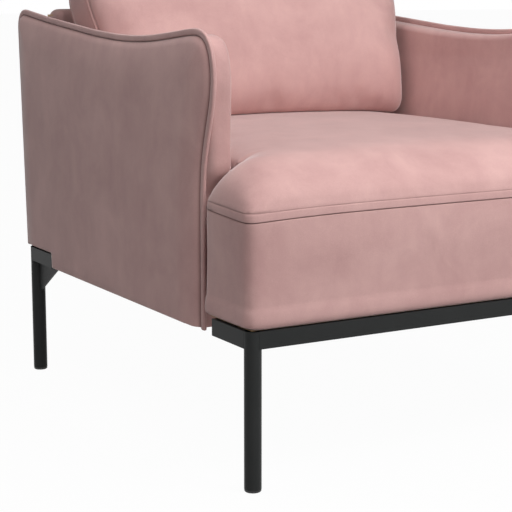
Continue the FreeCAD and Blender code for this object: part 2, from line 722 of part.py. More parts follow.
arm_screws = []
for side, sign in SIDES:
    inset = value("dims.arm_board_inset")
    board = slab(arm_wire(-inset), sign, BOARD_INNER, BOARD_OUTER).cut(arm_openings(sign))
    board = board.cut([
        screw_hole(sign, f"{BOARD_INNER} - dims.overcut",
                   f"{BOARD_INNER} + dims.arm_screw_bite + dims.overcut", place)
        for place in SCREW_ROWS])
    freeform(f"arm_board_{side}", board)

    batten = box_between(sign, SEAT_X, BOARD_INNER, BATTEN_Y, BATTEN_Z)
    freeform(f"arm_batten_{side}", batten.cut([
        screw_hole(sign, f"{SEAT_X} - dims.overcut", f"{BOARD_INNER} + dims.overcut", place)
        for place in SCREW_ROWS]))

    # The inner pad wraps the board's rim: its hollow holds the board, and the batten passes through.
    pad_solid = slab(arm_wire(0), sign, ARM_INNER, ARM_SEAM)
    slack = value("dims.slack")
    hollow = slab(arm_wire(slack - inset), sign, f"{BOARD_INNER} - dims.slack", f"{ARM_SEAM} + dims.overcut")
    passage = box_between(sign, f"{ARM_INNER} - dims.overcut", f"{ARM_SEAM} + dims.overcut",
                          (f"{BATTEN_Y[0]} - dims.slack", f"{BATTEN_Y[1]} + dims.slack"),
                          (f"{BATTEN_Z[0]} - dims.slack", f"{BATTEN_Z[1]} + dims.slack"))
    freeform(f"arm_inner_pad_{side}", pad_solid.cut([hollow, passage]))

    freeform(f"arm_outer_pad_{side}", slab(arm_wire(0), sign, ARM_SEAM, "dims.overall_width / 2"))

    # The welt is a flat flange of doubled cloth, sewn between the two pads and standing proud of them.
    near, far = f"{ARM_SEAM} - dims.welt_thickness / 2", f"{ARM_SEAM} + dims.welt_thickness / 2"
    ring = slab(arm_wire(value("dims.welt_height")), sign, near, far)
    near, far = f"{ARM_SEAM} - dims.welt_thickness", f"{ARM_SEAM} + dims.welt_thickness"
    core = slab(arm_wire(value("dims.welt_gap")), sign, near, far)
    notch = box_between(sign, near, far, (f"{NOTCH_FRONT} - dims.overcut", f"{REAR} + dims.overcut"),
                        ("dims.arm_underside - dims.overcut", f"{RAIL_TOP} + dims.notch_clearance"))
    welt = ring.cut([core, notch])
    freeform(f"arm_welt_{side}", max(welt.Solids, key=lambda solid: solid.Volume))

    for number, place in enumerate(SCREW_ROWS, start=1):
        head_x = f"{sign} * ({SIDE_BOARD_X[0]} - dims.arm_screw_diameter * 0.7)"
        length = f"{BOARD_INNER} + dims.arm_screw_bite - {SIDE_BOARD_X[0]}"
        arm_screws.append(screw(f"arm_screw_{side}_{number}", (sign, 0, 0), head_x, place, SCREW_Z,
                                "dims.arm_screw_diameter * 1.8", "dims.arm_screw_diameter", length))
group("arm_screws", arm_screws)


# ---------------------------------------------------------------- back

BACK_X = ARM_INNER
BACK_LOW = f"({RAIL_TOP} + dims.cover_lift)"
FRAME_X = f"({BACK_X} - dims.cover_thickness - dims.foam_gap)"
FRAME_REAR = f"({REAR} - dims.back_panel_thickness - dims.cover_lift)"
FRAME_Y = (f"{FRAME_REAR} - dims.back_frame_thickness", FRAME_REAR)
FRAME_LOW = f"({BACK_LOW} + dims.back_frame_rise)"
FRAME_TOP = "(dims.back_height - dims.cover_thickness - dims.foam_gap - dims.back_frame_drop)"

STILE_INNER = f"({FRAME_X} - dims.stile_width)"
for side, sign in SIDES:
    name = f"back_stile_{side}"
    keep(name, block(name, across(sign, STILE_INNER, FRAME_X), FRAME_Y, (FRAME_LOW, FRAME_TOP)))
RAIL_X = (f"-{STILE_INNER}", STILE_INNER)
top_rail_z = (f"{FRAME_TOP} - dims.stile_width", FRAME_TOP)
keep("back_top_rail", block("back_top_rail", RAIL_X, FRAME_Y, top_rail_z))
lower_rail_z = (FRAME_LOW, f"{FRAME_LOW} + dims.stile_width")
keep("back_lower_rail", block("back_lower_rail", RAIL_X, FRAME_Y, lower_rail_z))

strap_y = (f"{FRAME_Y[0]} - dims.webbing_thickness", FRAME_Y[0])
back_straps = []
for number in range(1, 6):
    centre = f"(-{FRAME_X} + 2 * {FRAME_X} * {number} / 6)"
    strap_x = (f"{centre} - dims.webbing_width / 2", f"{centre} + dims.webbing_width / 2")
    strap_z = (f"{FRAME_LOW} + dims.back_strap_inset", f"{FRAME_TOP} - dims.back_strap_inset")
    back_straps.append(block(f"back_strap_{number}", strap_x, strap_y, strap_z))
group("back_webbing", back_straps)

# The back's cover is a shell, open at the rear, where the panel closes it.
back_cover = DOC.addObject("PartDesign::Body", "back_cover")


def back_plan(inset, low):
    """The front view of the back, as a rectangle."""
    x, top = f"({BACK_X} - {inset})", f"(dims.back_height - {inset})"
    return [(f"-{x}", low), (x, low), (x, top), (f"-{x}", top)]


def at_front_top(edge):
    """Whether an edge lies along the top of the back, anywhere but at its rear."""
    middle = value(f"{REAR} - dims.back_thickness / 2")
    return edge.BoundBox.ZMin > value("dims.back_height") - 1e-4 and edge.BoundBox.YMax < middle


back_outline = sketch_in(back_cover, "back_cover_outline", "XZ_Plane", back_plan("0", BACK_LOW))
pad(back_cover, "back_cover_block", back_outline, "dims.back_thickness - dims.back_panel_thickness",
    f"-({REAR} - dims.back_panel_thickness)")
round_edges(back_cover, "back_cover_rim", at_front_top, "dims.cover_thickness * 2")
back_cavity = sketch_in(back_cover, "back_cover_cavity", "XZ_Plane",
                        back_plan("dims.cover_thickness", f"{BACK_LOW} - dims.overcut"))
pocket(back_cover, "back_cover_hollow", back_cavity,
       "dims.back_thickness - dims.back_panel_thickness - dims.cover_thickness",
       f"-({REAR} - dims.back_panel_thickness)", True)
keep("back_cover", back_cover)

foam_y = (f"{BACK_FRONT} + dims.cover_thickness + dims.foam_gap", f"{strap_y[0]} - dims.foam_gap")
keep("back_foam", block("back_foam", (f"-{FRAME_X}", FRAME_X), foam_y, (FRAME_LOW, FRAME_TOP)))
panel_x = (f"-({BACK_X} - dims.slack)", f"{BACK_X} - dims.slack")
panel_z = (BACK_LOW, "dims.back_height - dims.back_panel_drop")
keep("back_panel", block("back_panel", panel_x, (f"{REAR} - dims.back_panel_thickness", REAR), panel_z))


# ---------------------------------------------------------------- loose back cushion

CUSHION_X = f"({ARM_INNER} - dims.cushion_side_gap)"
CUSHION_LOW = "(dims.seat_height + dims.fit_gap)"
LEAN = "dims.cushion_rake * 1deg"
# The cushion leans on the top front edge of the back, so its foot lies this far from the front.
CUSHION_FRONT = (f"({BACK_FRONT} - dims.cushion_back_gap - (dims.back_height - {CUSHION_LOW}) * tan({LEAN})"
                 f" - dims.cushion_thickness / cos({LEAN}))")


def cushion_side(inset):
    """The side view of the cushion: it leans back, and its foot is cut level to sit on the seat."""
    def corner(along, through):
        y = f"{CUSHION_FRONT} + ({along}) * sin({LEAN}) + ({through}) * cos({LEAN})"
        z = f"{CUSHION_LOW} + ({along}) * cos({LEAN}) - ({through}) * sin({LEAN})"
        return y, z

    near, far = f"({inset})", f"(dims.cushion_thickness - ({inset}))"
    top = f"(dims.cushion_length - ({inset}))"
    near_foot, far_foot = [f"(({inset}) + {through} * sin({LEAN})) / cos({LEAN})" for through in (near, far)]
    return [corner(near_foot, near), corner(far_foot, far), corner(top, far), corner(top, near)]


def cushion_body(label, inset):
    """A raked slab, symmetric about the middle of the chair, its edges still square."""
    body = DOC.addObject("PartDesign::Body", label)
    outline = sketch_in(body, f"{label}_outline", "YZ_Plane", cushion_side(inset))
    pad(body, f"{label}_block", outline, f"2 * ({CUSHION_X} - ({inset}))", f"-({CUSHION_X} - ({inset}))")
    return body


# The cover wraps the cushion's fibre filling, and is closed by a zip along its underside.
outer = cushion_body("back_cushion_skin", "0")
round_edges(outer, "back_cushion_skin_edges", every_edge, "dims.cushion_corner")
inner = cushion_body("back_cushion_hollow", "dims.cover_thickness")
bevel_edges(inner, "back_cushion_hollow_edges", every_edge, "dims.cushion_bevel")
shell = cut("back_cushion_shell", outer, inner)
filling = cushion_body("back_cushion_fill", "dims.cover_thickness + dims.foam_gap")
bevel_edges(filling, "back_cushion_fill_edges", every_edge, "dims.cushion_bevel")
keep("back_cushion_fill", filling)
ZIP_X = f"({CUSHION_X} - dims.cushion_corner - dims.zip_from_corner)"
ZIP_Y = f"({CUSHION_FRONT} + dims.cushion_thickness / 2 / cos({LEAN}))"


def zip_strip(name, gap, depth):
    """A strip along the middle of the cushion's underside."""
    return block(name, (f"-({ZIP_X} - {gap})", f"{ZIP_X} - {gap}"),
                 (f"{ZIP_Y} - dims.zip_width / 2 + {gap}", f"{ZIP_Y} + dims.zip_width / 2 - {gap}"),
                 (CUSHION_LOW, f"{CUSHION_LOW} + {depth}"))


slot = zip_strip("zip_slot", "0", "dims.cover_thickness + dims.zip_play")
keep("back_cushion_cover", cut("back_cushion_cover", shell, slot))
keep("back_cushion_zip", zip_strip("back_cushion_zip", "dims.zip_play", "dims.cover_thickness"))


# ---------------------------------------------------------------- check and write

DOC.recompute()
for item in DOC.Objects:
    if {"Invalid", "Error"} & set(item.State):
        raise RuntimeError(f"{item.Name} is {item.State}")
for label, piece in PIECES.items():
    shape = piece.Shape
    if shape.isNull() or not shape.isValid() or not shape.Solids:
        raise RuntimeError(f"{label} has no valid solid")

os.makedirs("parts", exist_ok=True)
for label, piece in PIECES.items():
    piece.Shape.exportStep(os.path.join("parts", f"{label}.step"))
print(f"{len(PIECES)} pieces written")
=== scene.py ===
import math

import bmesh
import bpy
import numpy as np
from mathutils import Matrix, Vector


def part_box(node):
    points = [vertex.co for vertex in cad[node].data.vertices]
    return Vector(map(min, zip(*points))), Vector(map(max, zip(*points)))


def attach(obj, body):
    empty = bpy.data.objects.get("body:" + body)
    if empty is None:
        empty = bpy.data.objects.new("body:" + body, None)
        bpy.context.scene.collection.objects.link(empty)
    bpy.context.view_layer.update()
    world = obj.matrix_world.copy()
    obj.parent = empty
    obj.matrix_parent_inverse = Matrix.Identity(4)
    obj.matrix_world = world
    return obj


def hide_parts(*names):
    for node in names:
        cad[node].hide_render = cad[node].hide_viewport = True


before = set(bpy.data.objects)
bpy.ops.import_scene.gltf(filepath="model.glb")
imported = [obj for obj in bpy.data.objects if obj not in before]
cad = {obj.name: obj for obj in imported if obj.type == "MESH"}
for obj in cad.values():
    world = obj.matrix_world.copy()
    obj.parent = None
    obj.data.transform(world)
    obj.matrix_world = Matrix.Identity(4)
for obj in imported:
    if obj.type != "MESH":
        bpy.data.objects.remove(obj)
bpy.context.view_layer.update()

# STEEL BASE
# Four round tube legs under two square rails, with short returns run back from the corners and a
# gusset at each rear one. It is mild steel, welded and powder coated a satin black before the feet
# and end plugs are pressed in.


def linear(hex_colour):
    """An sRGB hex colour as the linear colour that shaders work in."""
    parts = [int(hex_colour[i:i + 2], 16) / 255 for i in (1, 3, 5)]
    return [c / 12.92 if c <= 0.04045 else ((c + 0.055) / 1.055) ** 2.4 for c in parts] + [1]


def add_node(tree, kind, settings, links=()):
    """Adds a node, then sets its sockets and properties and links its inputs."""
    made = tree.nodes.new(kind)
    for name, setting in settings.items():
        if isinstance(name, int) or name in made.inputs:
            made.inputs[name].default_value = setting
        else:
            setattr(made, name, setting)
    for name, socket in links:
        tree.links.new(socket, made.inputs[name])
    return made


def new_finish(name, **settings):
    """A material with its shader's fixed values set, and where its patterns are measured from."""
    finish = bpy.data.materials.new(name)
    finish.use_nodes = True
    shader = finish.node_tree.nodes["Principled BSDF"]
    for socket, setting in settings.items():
        shader.inputs[socket.replace("_", " ")].default_value = setting
    place = add_node(finish.node_tree, "ShaderNodeTexCoord", {}).outputs["Object"]
    return finish, finish.node_tree, shader, place


def paint(finish, *pieces):
    """Gives each piece the one finish."""
    for piece in pieces:
        piece.data.materials.clear()
        piece.data.materials.append(finish)


# Powder coat: satin, with the slight orange peel of melted powder, seen as a soft broken highlight.
# The peel is about 1.5 mm across, drawn as it is. A noise's scale is one over its size in metres.
powder_coat, tree, shader, place = new_finish("black_powder_coat", Specular_IOR_Level=0.1)
peel = add_node(tree, "ShaderNodeTexNoise", {"Scale": 650, "Detail": 2}, [("Vector", place)])
cloud = add_node(tree, "ShaderNodeTexNoise", {"Scale": 9, "Detail": 3}, [("Vector", place)])
tone = add_node(tree, "ShaderNodeMix",
                {"data_type": "RGBA", 6: linear("#272828"), 7: linear("#323333")},
                [(0, cloud.outputs["Fac"])])
shine = add_node(tree, "ShaderNodeMapRange", {"To Min": 0.36, "To Max": 0.5},
                 [("Value", cloud.outputs["Fac"])])
bump = add_node(tree, "ShaderNodeBump", {"Strength": 0.12, "Distance": 0.0003},
                [("Height", peel.outputs["Fac"])])
tree.links.new(tone.outputs[2], shader.inputs["Base Color"])
tree.links.new(shine.outputs["Result"], shader.inputs["Roughness"])
tree.links.new(bump.outputs["Normal"], shader.inputs["Normal"])
paint(powder_coat, *[cad[name] for name in (
    "leg_front_left", "leg_front_right", "leg_rear_left", "leg_rear_right",
    "front_rail", "rear_rail", "return_front_left", "return_front_right",
    "return_rear_left", "return_rear_right", "gusset_left", "gusset_right", "mounting_tabs")])

# Polyethylene: injection moulded, a waxy dull black that goes a little lighter in scuffs 4 mm
# across, where it has rubbed the floor.
moulded_plastic, tree, shader, place = new_finish("moulded_polyethylene", Roughness=0.5, IOR=1.51)
scuff = add_node(tree, "ShaderNodeTexNoise", {"Scale": 220, "Detail": 4, "Roughness": 0.7},
                 [("Vector", place)])
tone = add_node(tree, "ShaderNodeMix",
                {"data_type": "RGBA", 6: linear("#0E0E0F"), 7: linear("#1A1A1B")},
                [(0, scuff.outputs["Fac"])])
bump = add_node(tree, "ShaderNodeBump", {"Strength": 0.1, "Distance": 0.0002},
                [("Height", scuff.outputs["Fac"])])
tree.links.new(tone.outputs[2], shader.inputs["Base Color"])
tree.links.new(bump.outputs["Normal"], shader.inputs["Normal"])
paint(moulded_plastic, cad["foot_glides"], cad["return_end_plugs"])

# Zinc plate: a thin bright plating on rolled steel, faintly yellow, its shine clouded in patches
# 3 mm across.
zinc_plate, tree, shader, place = new_finish("zinc_plated_steel", Metallic=1.0)
cloud = add_node(tree, "ShaderNodeTexNoise", {"Scale": 300, "Detail": 3}, [("Vector", place)])
tone = add_node(tree, "ShaderNodeMix",
                {"data_type": "RGBA", 6: linear("#B9B7AE"), 7: linear("#CFCEC8")},
                [(0, cloud.outputs["Fac"])])
shine = add_node(tree, "ShaderNodeMapRange", {"To Min": 0.24, "To Max": 0.42},
                 [("Value", cloud.outputs["Fac"])])
tree.links.new(tone.outputs[2], shader.inputs["Base Color"])
tree.links.new(shine.outputs["Result"], shader.inputs["Roughness"])
paint(zinc_plate, cad["base_screws"], cad["arm_screws"])

# WOODEN FRAME
# The seat stands on boards of beech, the arms and back on plywood and battens, glued and screwed.
# None of it shows once the chair is covered.

# Beech: planed, pale pinkish tan with long fine grain, each streak about 3 mm wide.
beech, tree, shader, place = new_finish("planed_beech", Roughness=0.6)
stretch = add_node(tree, "ShaderNodeMapping", {"Scale": (6, 330, 330)}, [("Vector", place)])
grain = add_node(tree, "ShaderNodeTexNoise", {"Scale": 1, "Detail": 5, "Roughness": 0.6},
                 [("Vector", stretch.outputs["Vector"])])
tone = add_node(tree, "ShaderNodeMix",
                {"data_type": "RGBA", 6: linear("#B98D62"), 7: linear("#D9B68B")},
                [(0, grain.outputs["Fac"])])
bump = add_node(tree, "ShaderNodeBump", {"Strength": 0.15, "Distance": 0.0002},
                [("Height", grain.outputs["Fac"])])
tree.links.new(tone.outputs[2], shader.inputs["Base Color"])
tree.links.new(bump.outputs["Normal"], shader.inputs["Normal"])
paint(beech, *[cad[name] for name in (
    "seat_front_board", "seat_rear_board", "seat_side_board_left", "seat_side_board_right",
    "ear_board_left", "ear_board_right", "arm_batten_left", "arm_batten_right",
    "back_stile_left", "back_stile_right", "back_top_rail", "back_lower_rail")])

# Birch plywood: sanded, paler and yellower than the beech, with a flat grain 20 mm broad.
plywood, tree, shader, place = new_finish("birch_plywood", Roughness=0.65)
stretch = add_node(tree, "ShaderNodeMapping", {"Scale": (40, 7, 60)}, [("Vector", place)])
grain = add_node(tree, "ShaderNodeTexNoise", {"Scale": 1, "Detail": 6, "Distortion": 0.6},
                 [("Vector", stretch.outputs["Vector"])])
tone = add_node(tree, "ShaderNodeMix",
                {"data_type": "RGBA", 6: linear("#C7A477"), 7: linear("#E2C89E")},
                [(0, grain.outputs["Fac"])])
tree.links.new(tone.outputs[2], shader.inputs["Base Color"])
paint(plywood, cad["arm_board_left"], cad["arm_board_right"])

# WEBBING AND DUST COVER
# Elastic straps, woven one way over the other and stapled to the boards, carry the foam of the seat
# and back. A thin black non-woven cloth is stapled under the seat to keep dust in; it hangs a
# little slack in the middle.

# Elastic webbing: woven polypropylene over rubber, a dull beige with a slanting rib every 5.5 mm,
# drawn coarser than the real 2 mm so that it shows.
webbing, tree, shader, place = new_finish("elastic_webbing", Roughness=0.85)
rib = add_node(tree, "ShaderNodeTexWave",
               {"Scale": 80, "Distortion": 0.4, "bands_direction": "DIAGONAL"}, [("Vector", place)])
tone = add_node(tree, "ShaderNodeMix",
                {"data_type": "RGBA", 6: linear("#8F8370"), 7: linear("#B3A78F")},
                [(0, rib.outputs["Fac"])])
bump = add_node(tree, "ShaderNodeBump", {"Strength": 0.5, "Distance": 0.0006},
                [("Height", rib.outputs["Fac"])])
tree.links.new(tone.outputs[2], shader.inputs["Base Color"])
tree.links.new(bump.outputs["Normal"], shader.inputs["Normal"])
paint(webbing, cad["seat_webbing_long"], cad["seat_webbing_cross"], cad["back_webbing"])

# Spunbond cloth: bonded polypropylene fibres, a flat black with a faint broken emboss 3 mm across.
spunbond, tree, shader, place = new_finish("black_spunbond_cloth", Roughness=0.9, Sheen_Weight=0.1)
emboss = add_node(tree, "ShaderNodeTexVoronoi", {"Scale": 330}, [("Vector", place)])
tone = add_node(tree, "ShaderNodeMix",
                {"data_type": "RGBA", 6: linear("#17171A"), 7: linear("#26262A")},
                [(0, emboss.outputs["Distance"])])
bump = add_node(tree, "ShaderNodeBump", {"Strength": 0.3, "Distance": 0.0003},
                [("Height", emboss.outputs["Distance"])])
tree.links.new(tone.outputs[2], shader.inputs["Base Color"])
tree.links.new(bump.outputs["Normal"], shader.inputs["Normal"])


def shape(name, edit=True):
    """Names the piece just added, and opens it for shaping with nothing selected."""
    piece = bpy.context.object
    piece.name = piece.data.name = name
    if edit:
        bpy.ops.object.mode_set(mode="EDIT")
        bpy.ops.mesh.select_all(action="DESELECT")
    return piece


def finish_shape():
    """Closes editing with the faces pointing outwards, and the object at the origin, unturned."""
    bpy.ops.mesh.select_all(action="SELECT")
    bpy.ops.mesh.normals_make_consistent(inside=False)
    bpy.ops.object.mode_set(mode="OBJECT")
    bpy.ops.object.transform_apply(location=True, rotation=True, scale=True)


def only(piece):
    """Makes the piece the one that object operators act on."""
    bpy.ops.object.select_all(action="DESELECT")
    piece.select_set(True)
    bpy.context.view_layer.objects.active = piece


def modify(piece, kind, **settings):
    """Adds a modifier with its settings and applies it."""
    only(piece)
    bpy.ops.object.modifier_add(type=kind)
    modifier = piece.modifiers[-1]
    for name, setting in settings.items():
        setattr(modifier, name, setting)
    bpy.ops.object.modifier_apply(modifier=modifier.name)


def places(piece, measure="co"):
    """The places of the piece's vertices, or their normals, as rows of x, y and z."""
    flat = np.zeros(len(piece.data.vertices) * 3)
    piece.data.vertices.foreach_get(measure, flat)
    return flat.reshape(-1, 3)


def set_places(piece, points):
    """Moves the piece's vertices to these places."""
    piece.data.vertices.foreach_set("co", points.ravel())
    piece.data.update()


DUST_SAG = 0.004            # how far the cloth's middle hangs below its stapled edges
DUST_THICK = 0.0006
DUST_CELLS = 36
bpy.ops.object.select_all(action="DESELECT")
low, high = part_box("dust_cover")
bpy.ops.mesh.primitive_grid_add(x_subdivisions=DUST_CELLS, y_subdivisions=DUST_CELLS, size=1,
                                location=(low + high) / 2)
dust_cover = shape("dust_cover_cloth")
bpy.ops.mesh.select_all(action="SELECT")
bpy.ops.transform.resize(value=(high.x - low.x, high.y - low.y, 1))
finish_shape()
points = places(dust_cover)
across = 1 - (2 * (points[:, 0] - low.x) / (high.x - low.x) - 1) ** 2
along = 1 - (2 * (points[:, 1] - low.y) / (high.y - low.y) - 1) ** 2
sag = DUST_SAG * np.clip(across * along, 0, 1) ** 0.7
points[:, 2] = low.z + DUST_THICK / 2 - sag
set_places(dust_cover, points)
modify(dust_cover, "SOLIDIFY", thickness=DUST_THICK, offset=0)
paint(spunbond, dust_cover)
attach(dust_cover, "chair")
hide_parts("dust_cover")

# SEAT
# A thick foam seat, T-shaped in plan so that its front runs out past the arms, crowned and covered
# in velvet. The top panel is sewn to the front band, turned down and stitched again 12 mm above
# the join.

# Cotton velvet: a short cut pile that stands up, so it goes pale where it is seen edge on and keeps
# soft blotches 50 to 100 mm across, and upright streaks 25 mm wide, where a hand has brushed it.
# Its 0.2 mm pile is drawn 1 mm coarse, so that it shows.
velvet, tree, shader, place = new_finish(
    "pink_cotton_velvet", Roughness=0.88, IOR=1.45, Specular_IOR_Level=0.15,
    Sheen_Weight=0.7, Sheen_Roughness=0.35, Sheen_Tint=linear("#FFFFFF"))
blotch = add_node(tree, "ShaderNodeTexNoise",
                  {"Scale": 10, "Detail": 4, "Roughness": 0.6, "Distortion": 0.4},
                  [("Vector", place)])
brushed = add_node(tree, "ShaderNodeMapping", {"Scale": (42, 42, 14)}, [("Vector", place)])
streak = add_node(tree, "ShaderNodeTexNoise", {"Scale": 1, "Detail": 5, "Roughness": 0.6},
                  [("Vector", brushed.outputs["Vector"])])
pile = add_node(tree, "ShaderNodeTexNoise", {"Scale": 900, "Detail": 3, "Roughness": 0.7},
                [("Vector", place)])
blend = add_node(tree, "ShaderNodeMath", {"operation": "MULTIPLY_ADD", 1: 0.30},
                 [(0, streak.outputs["Fac"]), (2, blotch.outputs["Fac"])])
spread = add_node(tree, "ShaderNodeMapRange", {"From Min": 0.42, "From Max": 0.88},
                  [("Value", blend.outputs[0])])
tone = add_node(tree, "ShaderNodeMix",
                {"data_type": "RGBA", 6: linear("#BA9390"), 7: linear("#CCA5A1")},
                [(0, spread.outputs["Result"])])
fleck = add_node(tree, "ShaderNodeMapRange",
                 {"From Min": 0.3, "From Max": 0.7, "To Min": 0.93, "To Max": 1.05},
                 [("Value", pile.outputs["Fac"])])
flecked = add_node(tree, "ShaderNodeMix", {"data_type": "RGBA", "blend_type": "MULTIPLY", 0: 1.0},
                   [(6, tone.outputs[2]), (7, fleck.outputs["Result"])])
# Painted shade: where the seam attribute is set, the velvet's colour is mixed towards this dark
# brown, standing in for the shade in grooves and creases.
painted_seam_shade = add_node(tree, "ShaderNodeAttribute", {"attribute_name": "seam"})
seam_shaded_tone = add_node(tree, "ShaderNodeMix", {"data_type": "RGBA", 7: linear("#4E332F")},
                  [(0, painted_seam_shade.outputs["Fac"]), (6, flecked.outputs[2])])
nap = add_node(tree, "ShaderNodeBump", {"Strength": 0.25, "Distance": 0.0006},
               [("Height", pile.outputs["Fac"])])
unevenness = add_node(tree, "ShaderNodeBump", {"Strength": 0.3, "Distance": 0.003},
                      [("Height", blotch.outputs["Fac"]), ("Normal", nap.outputs["Normal"])])
tree.links.new(seam_shaded_tone.outputs[2], shader.inputs["Base Color"])
tree.links.new(unevenness.outputs["Normal"], shader.inputs["Normal"])


def block(name, middle, size):
    """A block of this size about its middle, open for shaping with all of it selected."""
    bpy.ops.object.select_all(action="DESELECT")
    bpy.ops.mesh.primitive_cube_add(size=1, location=middle)
    piece = shape(name)
    bpy.ops.mesh.select_all(action="SELECT")
    bpy.ops.transform.resize(value=size)
    return piece


def cut_across(axis, marks):
    """Cuts the open piece right through at each mark along an axis, 0 for X, 1 for Y, 2 for Z."""
    normal = [float(axis == other) for other in range(3)]
    for mark in marks:
        bpy.ops.mesh.select_all(action="SELECT")
        bpy.ops.mesh.bisect(plane_co=[mark * share for share in normal], plane_no=normal)


def choose(piece, kind, test):
    """Selects only those edges or faces whose middle passes the test, in edit mode."""
    bpy.ops.mesh.select_all(action="DESELECT")
    bpy.ops.mesh.select_mode(type=kind)
    mesh = bmesh.from_edit_mesh(piece.data)
    if kind == "EDGE":
        for edge in mesh.edges:
            edge.select_set(bool(test((edge.verts[0].co + edge.verts[1].co) / 2, edge)))
    else:
        for face in mesh.faces:
            face.select_set(bool(test(face.calc_center_median(), face)))
    mesh.select_flush_mode()
    bmesh.update_edit_mesh(piece.data)


SEAM_LEVEL = 0.387          # where the top panel joins the front band
STITCH_RISE = 0.0125        # from the join up to the second row of stitches
EAR_BACK = 0.3020           # how far forward of the middle the ears end
SEAT_HALF = 0.3070          # half the seat's width between the arms
CROWN_DROP = 0.058          # how far the top panel rolls down to the stitches
FRONT_CORNER, EAR_CORNER = 0.014, 0.004         # its upright corners, in front and behind the ears
FIRST_VOXEL, LAST_VOXEL = 0.006, 0.008          # remeshed before its crown is rolled, and after

low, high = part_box("seat_cover")
stitch_level = SEAM_LEVEL + STITCH_RISE
top = stitch_level + CROWN_DROP
middle_y = (low.y - EAR_BACK) / 2
seat = block("seat_cushioned_cover", (0, middle_y, (low.z + top) / 2),
             (high.x - low.x, -EAR_BACK - low.y, top - low.z))
bpy.ops.object.mode_set(mode="OBJECT")
bpy.ops.object.transform_apply(location=True, rotation=True, scale=True)
bpy.ops.object.mode_set(mode="EDIT")
cut_across(0, (-SEAT_HALF, SEAT_HALF))
choose(seat, "FACE", lambda c, face: face.normal.y > 0.9 and abs(c.x) < SEAT_HALF)
bpy.ops.mesh.extrude_region_move(TRANSFORM_OT_translate={"value": (0, high.y + EAR_BACK, 0)})
for rounding, at_front in ((FRONT_CORNER, True), (EAR_CORNER, False)):
    choose(seat, "EDGE", lambda c, edge: abs(edge.verts[0].co.z - edge.verts[1].co.z) > 0.1
           and abs(c.x) > (SEAT_HALF + high.x) / 2 and (c.y < middle_y) == at_front)
    bpy.ops.mesh.bevel(offset=rounding, segments=4, affect="EDGES")
finish_shape()
modify(seat, "REMESH", mode="VOXEL", voxel_size=FIRST_VOXEL)


def ramp(measure, start, run):
    """0 up to the start, then rising evenly to 1 over the run."""
    return np.clip((measure - start) / run, 0, 1)


def fade(distance, reach):
    """1 at no distance, falling evenly to 0 at its reach."""
    return np.clip(1 - distance / reach, 0, 1)


def bell(distance, width):
    """1 at no distance, and falling away smoothly on both sides over about its width."""
    return np.exp(-(distance / width) ** 2)


def roll(distance, width):
    """A rounded edge's share of full height, this far in from it."""
    return np.sqrt(1 - fade(np.clip(distance, 0, None), width) ** 2)


def edge_distance(points, start, end):
    """How far each point is in plan from a straight edge."""
    start, step = np.array(start), np.array(end) - start
    t = np.clip((points[:, :2] - start) @ step / (step @ step), 0, 1)
    return np.linalg.norm(points[:, :2] - start - t[:, None] * step, axis=1)


# How far in from each edge the top is rounded, and how much lower it dips along the arms.
FRONT_ROLL, EAR_ROLL, EAR_REAR_ROLL, ARM_ROLL = 0.110, 0.072, 0.042, 0.055
ARM_DIP = 0.04
EAR_DIP, EAR_DIP_LONG = 0.20, 0.18      # it dips this much more by the ears, fading over this run
EAR_BLEND = 0.035                       # the ears' own roundings come in over this width

points = places(seat)
turned = np.column_stack([np.abs(points[:, 0]), points[:, 1]])
front, ear_side, ear_rear, arm_side = [edge_distance(turned, start, end) for start, end in (
    ((0, low.y), (high.x, low.y)), ((high.x, low.y), (high.x, -EAR_BACK)),
    ((SEAT_HALF, -EAR_BACK), (high.x, -EAR_BACK)), ((SEAT_HALF, -EAR_BACK), (SEAT_HALF, high.y)))]
dip = ARM_DIP + EAR_DIP * fade(points[:, 1] + EAR_BACK, EAR_DIP_LONG)
out_on_ear = ramp(turned[:, 0], SEAT_HALF, EAR_BLEND)
crown = (roll(front, FRONT_ROLL) * roll(ear_side, EAR_ROLL)
         * (1 - out_on_ear * (1 - roll(ear_rear, EAR_REAR_ROLL)))
         * (1 - dip + dip * roll(arm_side, ARM_ROLL)))
above = np.clip(points[:, 2] - stitch_level, 0, None)
points[:, 2] = np.minimum(points[:, 2], stitch_level) + above * crown
set_places(seat, points)
modify(seat, "REMESH", mode="VOXEL", voxel_size=LAST_VOXEL)


CLOTH_STEPS = 20


def fill(piece, pressure, cap, held):
    """Swells a soft piece by air pressure inside its cloth, then limits how far any point has gone.
    Held gives each point's share of that movement along each axis."""
    start = places(piece)
    only(piece)
    bpy.ops.object.modifier_add(type="CLOTH")
    cloth = piece.modifiers[-1]
    cloth.settings.use_pressure = True
    cloth.settings.uniform_pressure_force = pressure
    cloth.settings.effector_weights.gravity = 0
    cloth.settings.quality = 5
    cloth.collision_settings.use_collision = False
    cloth.point_cache.frame_end = CLOTH_STEPS
    for frame_number in range(1, CLOTH_STEPS + 1):
        bpy.context.scene.frame_set(frame_number)
    bpy.ops.object.modifier_apply(modifier=cloth.name)
    bpy.context.scene.frame_set(1)
    moved = places(piece) - start
    length = np.linalg.norm(moved, axis=1, keepdims=True) + 1e-9
    moved *= cap * np.tanh(length / cap) / length
    set_places(piece, start + moved * held(start))


fill(seat, pressure=4, cap=0.010,
     held=lambda start: ramp(start[:, 2:], low.z, 0.08) * [0.4, 0.4, 0.35])
# Only the cushioned top is eased; the front band below the join keeps its straight sides.
firm = places(seat)
modify(seat, "SMOOTH", factor=0.5, iterations=8)
loose = ramp(firm[:, 2], SEAM_LEVEL - 0.02, 0.03)[:, None]
set_places(seat, firm + (places(seat) - firm) * loose)
modify(seat, "SUBSURF", levels=1, render_levels=1)

# The join and the stitches are grooves, darkened with painted shade, and the turning between them
# stands out a little.
JOIN_WIDE, JOIN_DEEP, JOIN_SHADE = 0.0005, 0.0022, 0.85
STITCH_WIDE, STITCH_DEEP, STITCH_SHADE = 0.0004, 0.0008, 0.28
BAND_PROUD, BAND_TALL = 0.0006, 0.006
